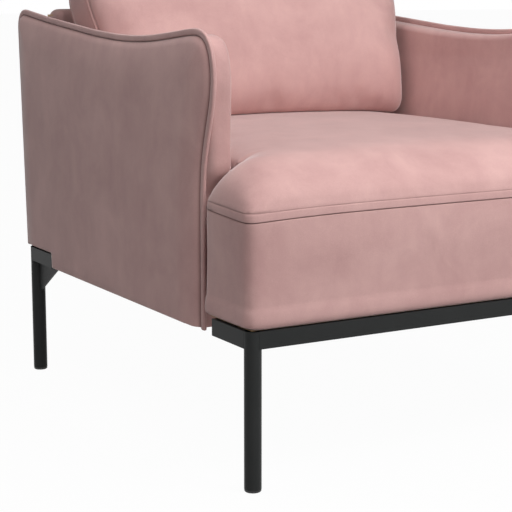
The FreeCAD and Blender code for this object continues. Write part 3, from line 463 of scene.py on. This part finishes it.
# Above the boards the foam swells out to the arms' inner pads, from this far out on the seat.
BOARD_TOP, BULGE_TALL = 0.405, 0.03
ARM_SWELL, SWELL_FROM, SWELL_WIDE = 0.0075, 0.24, 0.06
# The cover's foot bows out over the rail and hides the boards' edge.
FOOT_TALL, FOOT_BOW, FOOT_DROP = 0.030, 0.0035, 0.0011
# The join bows up along the front and rises towards the back of each ear.
JOIN_BOW, EAR_RISE, JOIN_SINK, BOW_TALL = 0.006, 0.006, 0.004, 0.05
# The whole seat is crowned about a point a little forward of the chair's middle, and dips where it
# goes down beside the arms and back.
MIDDLE_RISE, CROWN_FORWARD, CROWN_LONG = 0.020, 0.02, 0.42
CROWN_FROM, CROWN_TALL = 0.42, 0.035        # the crown grows over this height

# Each groove gets a row of vertices at its bottom and one at each lip.
bpy.ops.object.mode_set(mode="EDIT")
for row, lip in ((SEAM_LEVEL, 0.0009), (stitch_level, 0.0007)):
    cut_across(2, (row - lip, row, row + lip))
bpy.ops.object.mode_set(mode="OBJECT")
points = places(seat)
sideways = places(seat, "normal") * [1, 1, 0]
outside = (points[:, 1] < -EAR_BACK + 0.002) | (np.abs(points[:, 0]) > SEAT_HALF + 0.002)
join = outside * bell(points[:, 2] - SEAM_LEVEL, JOIN_WIDE)
stitches = outside * bell(points[:, 2] - stitch_level, STITCH_WIDE)
band = outside * ((points[:, 2] > SEAM_LEVEL + JOIN_WIDE)
                  & (points[:, 2] < stitch_level + BAND_TALL))
points += sideways * (BAND_PROUD * band - JOIN_DEEP * join - STITCH_DEEP * stitches)[:, None]
beside = (points[:, 1] > -EAR_BACK + 0.004) * ramp(points[:, 2], BOARD_TOP, BULGE_TALL)
points[:, 0] += (np.sign(points[:, 0]) * ARM_SWELL * beside
                 * ramp(np.abs(points[:, 0]), SWELL_FROM, SWELL_WIDE))
foot = fade(points[:, 2] - low.z, FOOT_TALL)
points += sideways * (FOOT_BOW * np.sqrt(foot) * outside)[:, None]
points[:, 2] -= FOOT_DROP * foot
rise = (JOIN_BOW * (1 - (points[:, 0] / high.x) ** 4)
        + EAR_RISE * ramp(points[:, 1], low.y, -EAR_BACK - low.y) - JOIN_SINK)
points[:, 2] += rise * bell(points[:, 2] - SEAM_LEVEL, BOW_TALL)
middle = (fade((points[:, 0] / high.x) ** 2, 1)
          * fade(((points[:, 1] + CROWN_FORWARD) / CROWN_LONG) ** 2, 1))
points[:, 2] += MIDDLE_RISE * middle ** 0.8 * ramp(points[:, 2], CROWN_FROM, CROWN_TALL)
set_places(seat, points)


def paint_seam_shade(piece, shares):
    """Gives each vertex its share of painted shade: the dark that the velvet is mixed towards in a
    groove or crease.
    """
    shade = piece.data.attributes.new("seam", "FLOAT", "POINT")
    shade.data.foreach_set("value", shares)


# Painted shade along the join and stitch grooves.
paint_seam_shade(seat, np.clip(JOIN_SHADE * join + STITCH_SHADE * stitches, 0, 1))
only(seat)
bpy.ops.object.shade_smooth()
paint(velvet, seat)
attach(seat, "chair")
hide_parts("seat_cover", "seat_foam")

# ARMS
# Each arm is a shaped plywood board between two foam pads, whose covers are sewn together in a flat
# welt that stands out of the join all along the front, top and rear. The right arm is made from the
# left one's pieces, turned over.


def along_line(line, shares):
    """The points at these shares of a line's length."""
    gone = np.concatenate([[0], np.cumsum(np.linalg.norm(np.diff(line, axis=0), axis=1))])
    wanted = shares * gone[-1]
    return np.column_stack([np.interp(wanted, gone, measure) for measure in line.T])


def arm_edge():
    """The arm's edge in the YZ plane, from the outer pad's face: up its front, back along its top
    and down its rear, smoothed; and the corner of the notch at its rear foot."""
    mesh = bmesh.new()
    mesh.from_mesh(cad["arm_outer_pad_left"].data)
    bmesh.ops.remove_doubles(mesh, verts=mesh.verts, dist=1e-5)
    bmesh.ops.dissolve_limit(mesh, angle_limit=math.radians(1), verts=mesh.verts, edges=mesh.edges)
    face = max((f for f in mesh.faces if f.normal.x < -0.9), key=lambda f: f.calc_area())
    loop = np.array([[v.co.y, v.co.z] for v in face.verts])
    mesh.free()
    front_foot = np.argmin(10 * loop[:, 1] + loop[:, 0])
    loop = np.roll(loop, -front_foot, 0)
    runs_along_foot = loop[1, 1] < loop[0, 1] + 0.001
    if runs_along_foot:
        loop = np.roll(loop[::-1], 1, 0)
    rear = loop[:, 0].max() - REAR_STRIP
    rear_foot = max(i for i in range(len(loop)) if loop[i, 0] > rear)
    line = along_line(loop[:rear_foot + 1], np.linspace(0, 1, EDGE_POINTS))
    for _ in range(EDGE_SMOOTHING):
        line[1:-1] = (line[:-2] + 2 * line[1:-1] + line[2:]) / 4
    return line, loop[rear_foot + 1]


EDGE_POINTS, EDGE_SMOOTHING = 900, 24
REAR_STRIP = 0.04           # the rear foot is the last corner within this of the arm's rear
REAR_POINTS = 60            # the slope of the arm's rear is taken over this many of the points
NOTCH_GAP = 0.0012          # the covers stop this far above the rear return
ARM_CELLS = 170, 104        # the pads' faces are gridded in about 4.5 mm cells along and up
CELL_GRADING = 0.75         # and in cells finer by this share at their edges
FOOT_TIGHTNESS = 16         # the covers are pulled this much tighter over the arm's foot
CREASE_WIDE = 0.0026        # the width of the painted shade in the crease beside the welt

edge, notch = arm_edge()
low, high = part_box("arm_outer_pad_left")
join_x = high.x
rear_slope = (edge[-1] - edge[-REAR_POINTS]) / (edge[-1] - edge[-REAR_POINTS])[1]
low_rear = edge[-1] + rear_slope * (low.z - edge[-1][1])
nose = np.argmax((edge[:, 1] - edge[:, 0])[:EDGE_POINTS * 2 // 3])
rear_top = np.argmax(edge[:, 1] + edge[:, 0])
notch_y, notch_z = notch[0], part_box("return_rear_left")[1].z + NOTCH_GAP
edge = np.vstack([edge, edge[-1] + rear_slope * (notch_z - edge[-1][1])])
foot_line = [[notch_y, notch_z], [notch_y, low.z]]
rim = np.vstack([edge[:-1:3], edge[-1:], foot_line, edge[:1]])


def depth_inside(points):
    """How far each point is from the arm's rim, in the YZ plane; its foot counts as further off."""
    nearest = np.full(len(points), 9.0)
    tightnesses = [1] * (len(rim) - 4) + [FOOT_TIGHTNESS] * 3
    for start, end, tightness in zip(rim, rim[1:], tightnesses):
        step = end - start
        t = np.clip(((points - start) @ step) / (step @ step), 0, 1)
        away = np.linalg.norm(points - start - t[:, None] * step, axis=1)
        nearest = np.minimum(nearest, tightness * away)
    return nearest


def arm_pad(name, face, walls, crease_shade):
    """A pad with its face gridded between the arm's edges, rounded by depth from them, then walled
    and closed. Its edge gets this much painted shade, where it turns in to the welt."""
    bpy.ops.object.select_all(action="DESELECT")
    bpy.ops.mesh.primitive_grid_add(x_subdivisions=ARM_CELLS[0], y_subdivisions=ARM_CELLS[1],
                                    size=2)
    pad = shape(name, edit=False)
    flat = places(pad)
    s, t = (flat[:, :2].T + 1) / 2
    s, t = [share - CELL_GRADING * np.sin(2 * math.pi * share) / (2 * math.pi) for share in (s, t)]
    front = along_line(edge[:nose + 1], t)
    rear = along_line(np.vstack([edge[rear_top:], [low_rear]])[::-1], t)
    top = along_line(edge[nose:rear_top + 1], s)
    bottom = along_line(np.array([edge[0], low_rear]), s)
    s, t = s[:, None], t[:, None]
    corners = ((1 - s) * (1 - t) * edge[0] + s * (1 - t) * low_rear
               + (1 - s) * t * edge[nose] + s * t * edge[rear_top])
    spread = (1 - t) * bottom + t * top + (1 - s) * front + s * rear - corners
    set_places(pad, np.column_stack([np.zeros(len(flat)), spread]))
    bpy.ops.object.mode_set(mode="EDIT")
    cut_across(1, [notch_y])
    cut_across(2, [notch_z])
    choose(pad, "FACE", lambda c, f: c.y > notch_y and c.z < notch_z)
    bpy.ops.mesh.delete(type="FACE")
    bpy.ops.object.mode_set(mode="OBJECT")
    points = places(pad)
    depth = depth_inside(points[:, 1:])
    points[:, 0] = face(depth, points[:, 2])
    set_places(pad, points)
    # Painted shade in the crease where the pad turns in to the welt.
    paint_seam_shade(pad, crease_shade * bell(depth, CREASE_WIDE))
    bpy.ops.object.mode_set(mode="EDIT")
    choose(pad, "EDGE", lambda c, e: e.is_boundary)
    for share in walls:
        bpy.ops.mesh.extrude_region_move()
        bpy.ops.transform.resize(value=(share, 1, 1), center_override=(join_x, 0, 0))
    bpy.ops.mesh.edge_face_add()
    finish_shape()
    return pad


def other_side(piece, name):
    """A copy of a left-hand piece, turned over for the right with its own mesh."""
    only(piece)
    bpy.ops.object.duplicate()
    twin = shape(name, edit=False)
    set_places(twin, places(twin) * [-1, 1, 1])
    bpy.ops.object.mode_set(mode="EDIT")
    bpy.ops.mesh.select_all(action="SELECT")
    bpy.ops.mesh.flip_normals()
    bpy.ops.object.mode_set(mode="OBJECT")
    return twin


def dress(piece, body, replaced, finish):
    """Smooths a piece, gives it its finish, hangs it on its body and hides the parts that it stands
    for.
    """
    only(piece)
    bpy.ops.object.shade_smooth_by_angle(angle=math.radians(50))
    paint(finish, piece)
    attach(piece, body)
    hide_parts(*replaced)


OUTER_THICK = 0.0145
OUTER_ROLL, OUTER_EASE = 0.012, 0.058   # its tight edge, and how far in it goes on rounding softly
TIGHT_SHARE = 0.4                       # how much of its thickness the tight edge takes
OUTER_TUCK = 0.0012                     # the width that the welt holds flat
INNER_ROLL = 0.011
INNER_THICK = (0.40, 0.45, 0.50, 0.58), (0.0485, 0.0410, 0.0400, 0.0345)    # it thins as it rises
FACE_CROWN, CROWN_WIDE = 0.0015, 0.2    # both faces rise this much more towards their middles


def outer_face(depth, _height):
    """Where the outer pad's face is in X: a tight edge in from the welt, a long soft rounding, then
    nearly flat."""
    eased = 1 - fade(depth, OUTER_EASE) ** 2
    full = TIGHT_SHARE * roll(depth - OUTER_TUCK, OUTER_ROLL) + (1 - TIGHT_SHARE) * eased
    return join_x - OUTER_THICK * full - FACE_CROWN * ramp(depth, 0, CROWN_WIDE)


def inner_face(depth, height):
    """Where the inner pad's face is in X: a round edge, then nearly flat, leaning out above."""
    thick = np.interp(height, *INNER_THICK)
    return (join_x + thick - INNER_ROLL * (1 - roll(depth, INNER_ROLL))
            + FACE_CROWN * ramp(depth, 0, CROWN_WIDE))


# The outer pad's crease beside the welt gets painted shade; the inner pad gets none.
outer_pad = arm_pad("arm_outer_panel_left", outer_face, walls=[0], crease_shade=0.85)
inner_pad = arm_pad("arm_inner_panel_left", inner_face, walls=[0.75, 0.65, 0.5, 0.3, 0], crease_shade=0)

# The inner pad's front stands straight down from the arm's nose, ahead of the welt, until it meets
# the seat.
FRONT_SLOPE = 1.6           # it comes forward this much less for each bit that the pad is thicker
FRONT_MOST = 0.022          # and never further forward than this
FRONT_BLEND = 0.06          # it goes back into the pad's own line over this length
WELT_BLEND, PAD_BLEND = 0.0035, 0.012       # and starts steeply beside the welt, then more slowly
points = places(inner_pad)
tip = np.argmin(edge[:nose + 1, 0])
front_y = np.interp(points[:, 2], edge[:tip + 1, 1], edge[:tip + 1, 0])
spare = FRONT_SLOPE * (np.interp(points[:, 2], *INNER_THICK) - INNER_THICK[1][-1])
behind = np.clip(front_y - edge[tip, 0] - spare, 0, FRONT_MOST)
behind *= ramp(points[:, 2], BOARD_TOP, BULGE_TALL)
near_front = fade(points[:, 1] - front_y, FRONT_BLEND)
inward = points[:, 0] - join_x
points[:, 1] -= (behind * near_front
                 * (0.7 * ramp(inward, 0, WELT_BLEND) + 0.3 * ramp(inward, 0, PAD_BLEND)))
set_places(inner_pad, points)
for left, part in ((outer_pad, "outer"), (inner_pad, "inner")):
    right = other_side(left, left.name.replace("left", "right"))
    for piece, side in ((left, "left"), (right, "right")):
        dress(piece, "chair", [f"arm_{part}_pad_{side}"], velvet)

# The welt: both covers' edges turned in and sewn as one flat rounded flange, 9 mm proud, its tails
# cut just below the pads.
WELT_OUT, WELT_ROOT = 0.009, 0.001      # how far it stands out of the join, and goes into it
WELT_THICK = 0.006
WELT_TAIL = 0.003
WELT_POINTS = 240
run = along_line(edge, np.linspace(0, 1, WELT_POINTS))
tangent = np.gradient(run, axis=0)
tangent /= np.linalg.norm(tangent, axis=1, keepdims=True)
run = run + (WELT_OUT - WELT_ROOT) / 2 * np.column_stack([-tangent[:, 1], tangent[:, 0]])
run = np.vstack([run[:1] - [0, WELT_TAIL], run, run[-1:] - [0, WELT_TAIL]])
last = len(run) - 1
bpy.ops.object.select_all(action="DESELECT")
bpy.ops.mesh.primitive_circle_add(vertices=len(run), radius=0.3, fill_type="NOTHING")
welt = shape("arm_welt_flange_left", edit=False)
set_places(welt, np.column_stack([np.full(len(run), join_x - WELT_THICK / 2), run]))
bpy.ops.object.mode_set(mode="EDIT")
choose(welt, "EDGE", lambda c, e: {v.index for v in e.verts} == {0, last})
bpy.ops.mesh.delete(type="EDGE")
bpy.ops.mesh.select_all(action="SELECT")
bpy.ops.mesh.extrude_region_move(TRANSFORM_OT_translate={"value": (WELT_THICK, 0, 0)})
finish_shape()
modify(welt, "SOLIDIFY", thickness=WELT_OUT + WELT_ROOT, offset=0, use_even_offset=True)
modify(welt, "BEVEL", width=0.0024, segments=3, limit_method="ANGLE", angle_limit=math.radians(50))
modify(welt, "SUBSURF", levels=1, render_levels=1)
right_welt = other_side(welt, "arm_welt_flange_right")
dress(welt, "chair", ["arm_welt_left"], velvet)
dress(right_welt, "chair", ["arm_welt_right"], velvet)

# BACK
# A low padded back between the arms: foam over webbing on a beech frame, rounded over the top rail
# and covered in the same velvet. It is closed behind by a plain sewn panel, turned in at its edges.


def soft_block(name, middle, size, rounding, voxel):
    """A block of this size with its edges rounded, remeshed evenly for swelling."""
    piece = block(name, middle, size)
    bpy.ops.mesh.bevel(offset=rounding, segments=6, affect="EDGES")
    finish_shape()
    modify(piece, "REMESH", mode="VOXEL", voxel_size=voxel)
    return piece


BACK_TAPER, TAPER_TALL = 0.006, 0.05    # the back narrows by this at each side, over its top
low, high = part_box("back_cover")
back = soft_block("back_padded_cover", (low + high) / 2, high - low, rounding=0.012, voxel=0.007)
# It is held at its foot and behind, so that it swells forwards and up only.
fill(back, pressure=2, cap=0.004,
     held=lambda start: (ramp(start[:, 2:], low.z, 0.05)
                         * np.clip((high.y - 0.004 - start[:, 1:2]) / 0.01, 0, 1)))
modify(back, "SMOOTH", factor=0.5, iterations=3)
modify(back, "SUBSURF", levels=1, render_levels=1)


def narrowed(points):
    """These points drawn in towards the top of the back."""
    share = fade(high.z - points[:, 2], TAPER_TALL) ** 1.5
    drawn_in = BACK_TAPER * share * points[:, 0] / high.x
    return points - np.column_stack([drawn_in, 0 * share, 0 * share])


set_places(back, narrowed(places(back)))
dress(back, "chair", ["back_cover", "back_foam"], velvet)

PANEL_INSET = 0.006         # the panel is turned in this far from the cover's sides and top
PANEL_CORNER = 0.018
low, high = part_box("back_panel")
low, high = low + Vector((PANEL_INSET, 0, 0)), high - Vector((PANEL_INSET, 0, PANEL_INSET))
half = (high - low) / 2
panel = block("back_outside_panel", (low + high) / 2, high - low)
choose(panel, "EDGE", lambda c, e: c.z > half.z - 0.001 and abs(c.x) > half.x - 0.001)
bpy.ops.mesh.bevel(offset=PANEL_CORNER, segments=6, affect="EDGES")
finish_shape()
bpy.ops.object.mode_set(mode="EDIT")
cut_across(2, np.linspace(high.z - TAPER_TALL, high.z - PANEL_CORNER - 0.004, 4))
bpy.ops.object.mode_set(mode="OBJECT")
modify(panel, "BEVEL", width=0.0018, segments=3, limit_method="ANGLE", angle_limit=math.radians(50))
set_places(panel, narrowed(places(panel)))
dress(panel, "chair", ["back_panel"], velvet)

# BACK CUSHION
# A loose cushion stuffed with fibre, leaning on the back: a crowned front, a flatter rear, and a
# boxing strip between them sewn in at two seams. Its foot is pressed flat by the seat. It lifts
# away for cleaning.
CUSHION_HALF, CUSHION_TALL = 0.306, 0.376       # half its width, and its height
BOXING = 0.076                                  # the width of the boxing strip
FRONT_CROWN, REAR_CROWN = 0.052, 0.024
STEEP_SHARE, STEEP_WIDE, SLOW_WIDE = 0.64, 0.028, 0.3       # how each panel rises from its seam
CORNER_ROUND, CORNER_REACH = 0.006, 0.03        # its corners are drawn in by this, over this reach


def fullness(distance):
    """A stuffed panel's share of full height, this far in from its seam: a steep round edge, then a
    slow rise."""
    slow = 1 - fade(distance, SLOW_WIDE) ** 2
    return STEEP_SHARE * roll(distance, STEEP_WIDE) + (1 - STEEP_SHARE) * slow


cushion = soft_block("back_cushion_stuffed_cover", (0, 0, CUSHION_TALL / 2),
                     (2 * CUSHION_HALF, BOXING, CUSHION_TALL), rounding=0.004, voxel=0.006)
points = places(cushion)
from_side = CUSHION_HALF - np.abs(points[:, 0])
from_end = np.minimum(points[:, 2], CUSHION_TALL - points[:, 2])
full = fullness(from_side) * fullness(from_end)
side = np.clip(points[:, 1] / (BOXING / 2 - 0.001), -1, 1)
points[:, 1] += np.where(side <= -1, -FRONT_CROWN * full, np.where(side >= 1, REAR_CROWN * full, 0))
round_corner = CORNER_ROUND * fade(from_side, CORNER_REACH) * fade(from_end, CORNER_REACH)
points[:, 0] -= np.sign(points[:, 0]) * round_corner
points[:, 2] += np.sign(CUSHION_TALL / 2 - points[:, 2]) * round_corner
set_places(cushion, points)
modify(cushion, "REMESH", mode="VOXEL", voxel_size=0.007)
fill(cushion, pressure=4, cap=0.016, held=lambda start: np.array([0.15, 1, 0.4]))
modify(cushion, "SMOOTH", factor=0.5, iterations=3)
modify(cushion, "SUBSURF", levels=1, render_levels=1)

# Each seam of the boxing is a fine ridge with a groove on either side, the grooves darkened with
# painted shade.
SEAM_STEPS = -0.003, -0.0012, 0, 0.0012, 0.003
RIDGE_WIDE, RIDGE_PROUD = 0.001, 0.0010
GROOVE_OUT, GROOVE_WIDE, GROOVE_DEEP, GROOVE_SHADE = 0.003, 0.0015, 0.0022, 0.22
SIDE_SWELL, SWELL_HEIGHT, SWELL_TALL = 0.014, 0.235, 0.08      # the sides swell out above the arms
bpy.ops.object.mode_set(mode="EDIT")
for seam in (-BOXING / 2, BOXING / 2):
    cut_across(1, [seam + step for step in SEAM_STEPS])
bpy.ops.object.mode_set(mode="OBJECT")
points = places(cushion)
away = np.abs(np.abs(points[:, 1]) - BOXING / 2)
ridge = bell(away, RIDGE_WIDE)
groove = bell(away - GROOVE_OUT, GROOVE_WIDE)
points += places(cushion, "normal") * (RIDGE_PROUD * ridge - GROOVE_DEEP * groove)[:, None]
swell = bell(points[:, 2] - SWELL_HEIGHT, SWELL_TALL)
points[:, 0] += SIDE_SWELL * swell * points[:, 0] / CUSHION_HALF

# The whole cushion is bent back along its height: pressed upright between arms and seat, it leans
# freely above them.
FOOT_RAKE, TOP_RAKE = 5, 24                     # degrees
BEND_FROM, BEND_OVER = 0.06, 0.08
CUSHION_FOOT = 0.198, 0.459                     # where the middle of its foot stands, in Y and Z
course = np.linspace(-0.03, CUSHION_TALL + 0.03, 400)
turn = ramp(course, BEND_FROM, BEND_OVER)
lean = np.radians(FOOT_RAKE + (TOP_RAKE - FOOT_RAKE) * turn * turn * (3 - 2 * turn))
step = course[1] - course[0]
back_to = np.cumsum(np.sin(lean)) * step
up_to = np.cumsum(np.cos(lean)) * step
back_to += CUSHION_FOOT[0] - np.interp(0, course, back_to)
up_to += CUSHION_FOOT[1] - np.interp(0, course, up_to)
thick, tall = points[:, 1].copy(), points[:, 2].copy()
angle = np.interp(tall, course, lean)
points[:, 1] = np.interp(tall, course, back_to) + thick * np.cos(angle)
points[:, 2] = np.interp(tall, course, up_to) - thick * np.sin(angle)

# Its foot is pressed flat on the seat, and sunk over the zip so that the zip lies flush.
PRESS_BELOW = 0.53
PRESS_SOFT, PRESS_IN = 0.004, 0.0005            # how gradually it is pressed, and how far in
ZIP_Y, ZIP_HALF = 0.206, 0.249                  # where the zip runs, and half its length
ZIP_SINK, SUNK_HALF, SUNK_END = 0.0032, 0.0135, 0.006       # the recess round it
bpy.context.view_layer.update()
for i, point in enumerate(points):
    if point[2] < PRESS_BELOW:
        hit, where, _, _ = seat.ray_cast((point[0], point[1], 0.8), (0, 0, -1))
        if hit:
            gap = point[2] - where.z
            lifted = 0.5 * (gap + math.sqrt(gap * gap + PRESS_SOFT ** 2))
            points[i, 2] = where.z + lifted - PRESS_IN
over_zip = (np.exp(-((points[:, 1] - ZIP_Y) / SUNK_HALF) ** 8)
            * np.exp(-(points[:, 0] / (ZIP_HALF + SUNK_END)) ** 40) * (tall < 0.02))
points[:, 2] += ZIP_SINK * over_zip
set_places(cushion, points)
# Painted shade in the grooves beside the boxing seams.
paint_seam_shade(cushion, GROOVE_SHADE * groove)
dress(cushion, "back_cushion", ["back_cushion_cover", "back_cushion_fill"], velvet)

# ZIP
# Two woven tapes, a row of nylon teeth, and a plated slider with its pull, sewn in along the
# cushion's underside so that the filling can be taken out.

# Polyester zip tape: a close twill dyed to match the velvet, flat and a little darker, with a
# slanting rib every 2.2 mm, drawn coarser than the real 0.8 mm so that it shows.
zip_tape, tree, shader, place = new_finish("woven_polyester_zip_tape", Roughness=0.8)
twill = add_node(tree, "ShaderNodeTexWave",
                 {"Scale": 200, "Distortion": 0.3, "bands_direction": "DIAGONAL"},
                 [("Vector", place)])
tone = add_node(tree, "ShaderNodeMix",
                {"data_type": "RGBA", 6: linear("#84605E"), 7: linear("#A07A77")},
                [(0, twill.outputs["Fac"])])
bump = add_node(tree, "ShaderNodeBump", {"Strength": 0.4, "Distance": 0.0002},
                [("Height", twill.outputs["Fac"])])
tree.links.new(tone.outputs[2], shader.inputs["Base Color"])
tree.links.new(bump.outputs["Normal"], shader.inputs["Normal"])

# Nylon: moulded teeth dyed with the tape, smoother and shinier than it, slightly clouded.
nylon, tree, shader, place = new_finish("dyed_nylon_teeth", Roughness=0.35, IOR=1.53)
cloud = add_node(tree, "ShaderNodeTexNoise", {"Scale": 400, "Detail": 2}, [("Vector", place)])
tone = add_node(tree, "ShaderNodeMix",
                {"data_type": "RGBA", 6: linear("#7A5654"), 7: linear("#8F6865")},
                [(0, cloud.outputs["Fac"])])
tree.links.new(tone.outputs[2], shader.inputs["Base Color"])


def zip_piece(name, size, place, finish, rounding=0.0003):
    """A bevelled block of the zip, of this size at this place, in its finish."""
    piece = block(name, place, size)
    bpy.ops.mesh.bevel(offset=rounding, segments=1, affect="EDGES")
    finish_shape()
    paint(finish, piece)
    return piece


TAPE_WIDE, TAPE_THICK = 0.0105, 0.0008
TAPE_CUTS = 60                                  # so that the tape follows the cushion's foot
TOOTH_SIZE, TOOTH_PITCH = (0.0012, 0.0034, 0.0013), 0.003
TOOTH_OFFSET = 0.0008                           # each side's teeth stand off the middle by this
ROW_END = 0.004                                 # the teeth stop this far short of the tape's ends
SLIDER_SIZE, SLIDER_END = (0.0085, 0.0080, 0.0026), 0.016
PULL_RING, PULL_WIRE, PULL_STRETCH, PULL_END = 0.0036, 0.0006, 2.3, 0.026
zip_parts = []
for side in (-1, 1):
    tape = zip_piece("zip_tape_strip", (2 * ZIP_HALF, TAPE_WIDE, TAPE_THICK),
                     (0, side * (TAPE_WIDE / 2 + TOOTH_OFFSET), 0.0006), zip_tape, 0.0002)
    bpy.ops.object.mode_set(mode="EDIT")
    cut_across(0, np.linspace(-ZIP_HALF, ZIP_HALF, TAPE_CUTS + 2)[1:-1])
    bpy.ops.object.mode_set(mode="OBJECT")
    first_tooth = -ZIP_HALF + ROW_END + (side + 1) * TOOTH_PITCH / 4
    teeth = zip_piece("zip_teeth_row", TOOTH_SIZE, (first_tooth, side * TOOTH_OFFSET, 0), nylon)
    modify(teeth, "ARRAY", count=int(2 * (ZIP_HALF - ROW_END) / TOOTH_PITCH),
           use_relative_offset=False, use_constant_offset=True,
           constant_offset_displace=(TOOTH_PITCH, 0, 0))
    zip_parts += [tape, teeth]
zip_parts.append(zip_piece("zip_slider", SLIDER_SIZE, (ZIP_HALF - SLIDER_END, 0, 0), zinc_plate,
                           0.0008))
bpy.ops.object.select_all(action="DESELECT")
bpy.ops.mesh.primitive_torus_add(major_segments=32, minor_segments=8, major_radius=PULL_RING,
                                 minor_radius=PULL_WIRE, location=(ZIP_HALF - PULL_END, 0, -0.0018))
pull = shape("zip_pull")
bpy.ops.mesh.select_all(action="SELECT")
bpy.ops.transform.resize(value=(PULL_STRETCH, 1, 1))
finish_shape()
paint(zinc_plate, pull)
only(pull)
for part in zip_parts:
    part.select_set(True)
bpy.ops.object.join()
zip_row = shape("back_cushion_zip_row", edit=False)
# The whole zip is laid against the cushion's underside, rising and falling with it.
bpy.context.view_layer.update()
across = np.linspace(-ZIP_HALF - 0.001, ZIP_HALF + 0.001, 120)
under = [cushion.ray_cast((x, ZIP_Y, 0.3), (0, 0, 1))[1].z for x in across]
points = places(zip_row) + [0, ZIP_Y, -0.0007]
points[:, 2] += np.interp(points[:, 0], across, under)
set_places(zip_row, points)
bpy.ops.object.shade_smooth_by_angle(angle=math.radians(35))
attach(zip_row, "back_cushion")
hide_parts("back_cushion_zip")

# STUDIO
# A pale seamless floor under a wide light in front, a nearer one at the right and one overhead,
# with weak fill from the left and behind. What the camera sees past the floor is white.
AIM = Vector((0, 0, 0.45))                      # the middle of the chair, which every lamp faces
for name, place, size, power in (("front_light", (-1.06, -6.02, 2.67), 2.6, 62),
                                 ("key_light", (0.50, -1.40, 1.60), 0.8, 20),
                                 ("overhead_light", (-0.30, -1.05, 1.90), 0.8, 13),
                                 ("side_fill", (-1.20, -0.20, 2.20), 1.0, 11),
                                 ("rear_fill", (-2.60, 1.60, 1.80), 1.8, 3)):
    bpy.ops.object.light_add(type="AREA", location=place)
    light = bpy.context.object
    light.name = name
    light.visible_camera = False
    light.data.size = size
    light.data.energy = power
    light.rotation_euler = (AIM - Vector(place)).to_track_quat("-Z", "Y").to_euler()


def seen_directly(tree):
    """1 where the camera sees a surface, straight, reflected or through glass, and 0 for the light
    that it gives."""
    rays = add_node(tree, "ShaderNodeLightPath", {})
    seen = rays.outputs["Is Camera Ray"]
    for kind in ("Is Glossy Ray", "Is Transmission Ray"):
        seen = add_node(tree, "ShaderNodeMath", {"operation": "MAXIMUM"},
                        [(0, seen), (1, rays.outputs[kind])]).outputs[0]
    return seen


# Matt paper: a pale grey to the light, so that it keeps the chair's shadow, and near white to the
# camera.
white_paper, tree, shader, place = new_finish("white_paper_sweep", Roughness=0.9,
                                              Base_Color=linear("#D0D0D0"))
bpy.ops.mesh.primitive_plane_add(size=80, location=(0, 0, 0))
floor = shape("floor", edit=False)
paint(white_paper, floor)
share = add_node(tree, "ShaderNodeMath", {"operation": "MULTIPLY", 1: 0.97},
                 [(0, seen_directly(tree))])
glow = add_node(tree, "ShaderNodeEmission", {"Strength": 1.0})
mixed = add_node(tree, "ShaderNodeMixShader", {},
                 [(0, share.outputs[0]), (1, shader.outputs[0]), (2, glow.outputs[0])])
tree.links.new(mixed.outputs[0], tree.nodes["Material Output"].inputs["Surface"])

world = bpy.data.worlds.new("studio")
bpy.context.scene.world = world
world.use_nodes = True
tree = world.node_tree
backdrop = tree.nodes["Background"]
strength = add_node(tree, "ShaderNodeMapRange", {"To Min": 0.05, "To Max": 1.0},
                    [("Value", seen_directly(tree))])
backdrop.inputs["Color"].default_value = (1, 1, 1, 1)
tree.links.new(strength.outputs["Result"], backdrop.inputs["Strength"])

bpy.ops.object.camera_add(location=(-1.35616, -2.16854, 0.69866))
camera = bpy.context.object
camera.name = "camera"
camera.rotation_euler = [math.radians(angle) for angle in (79.83, 0, -29.94)]
camera.data.lens = 104.42
camera.data.sensor_width = 36
bpy.context.scene.camera = camera
bpy.context.scene.view_settings.view_transform = "Standard"
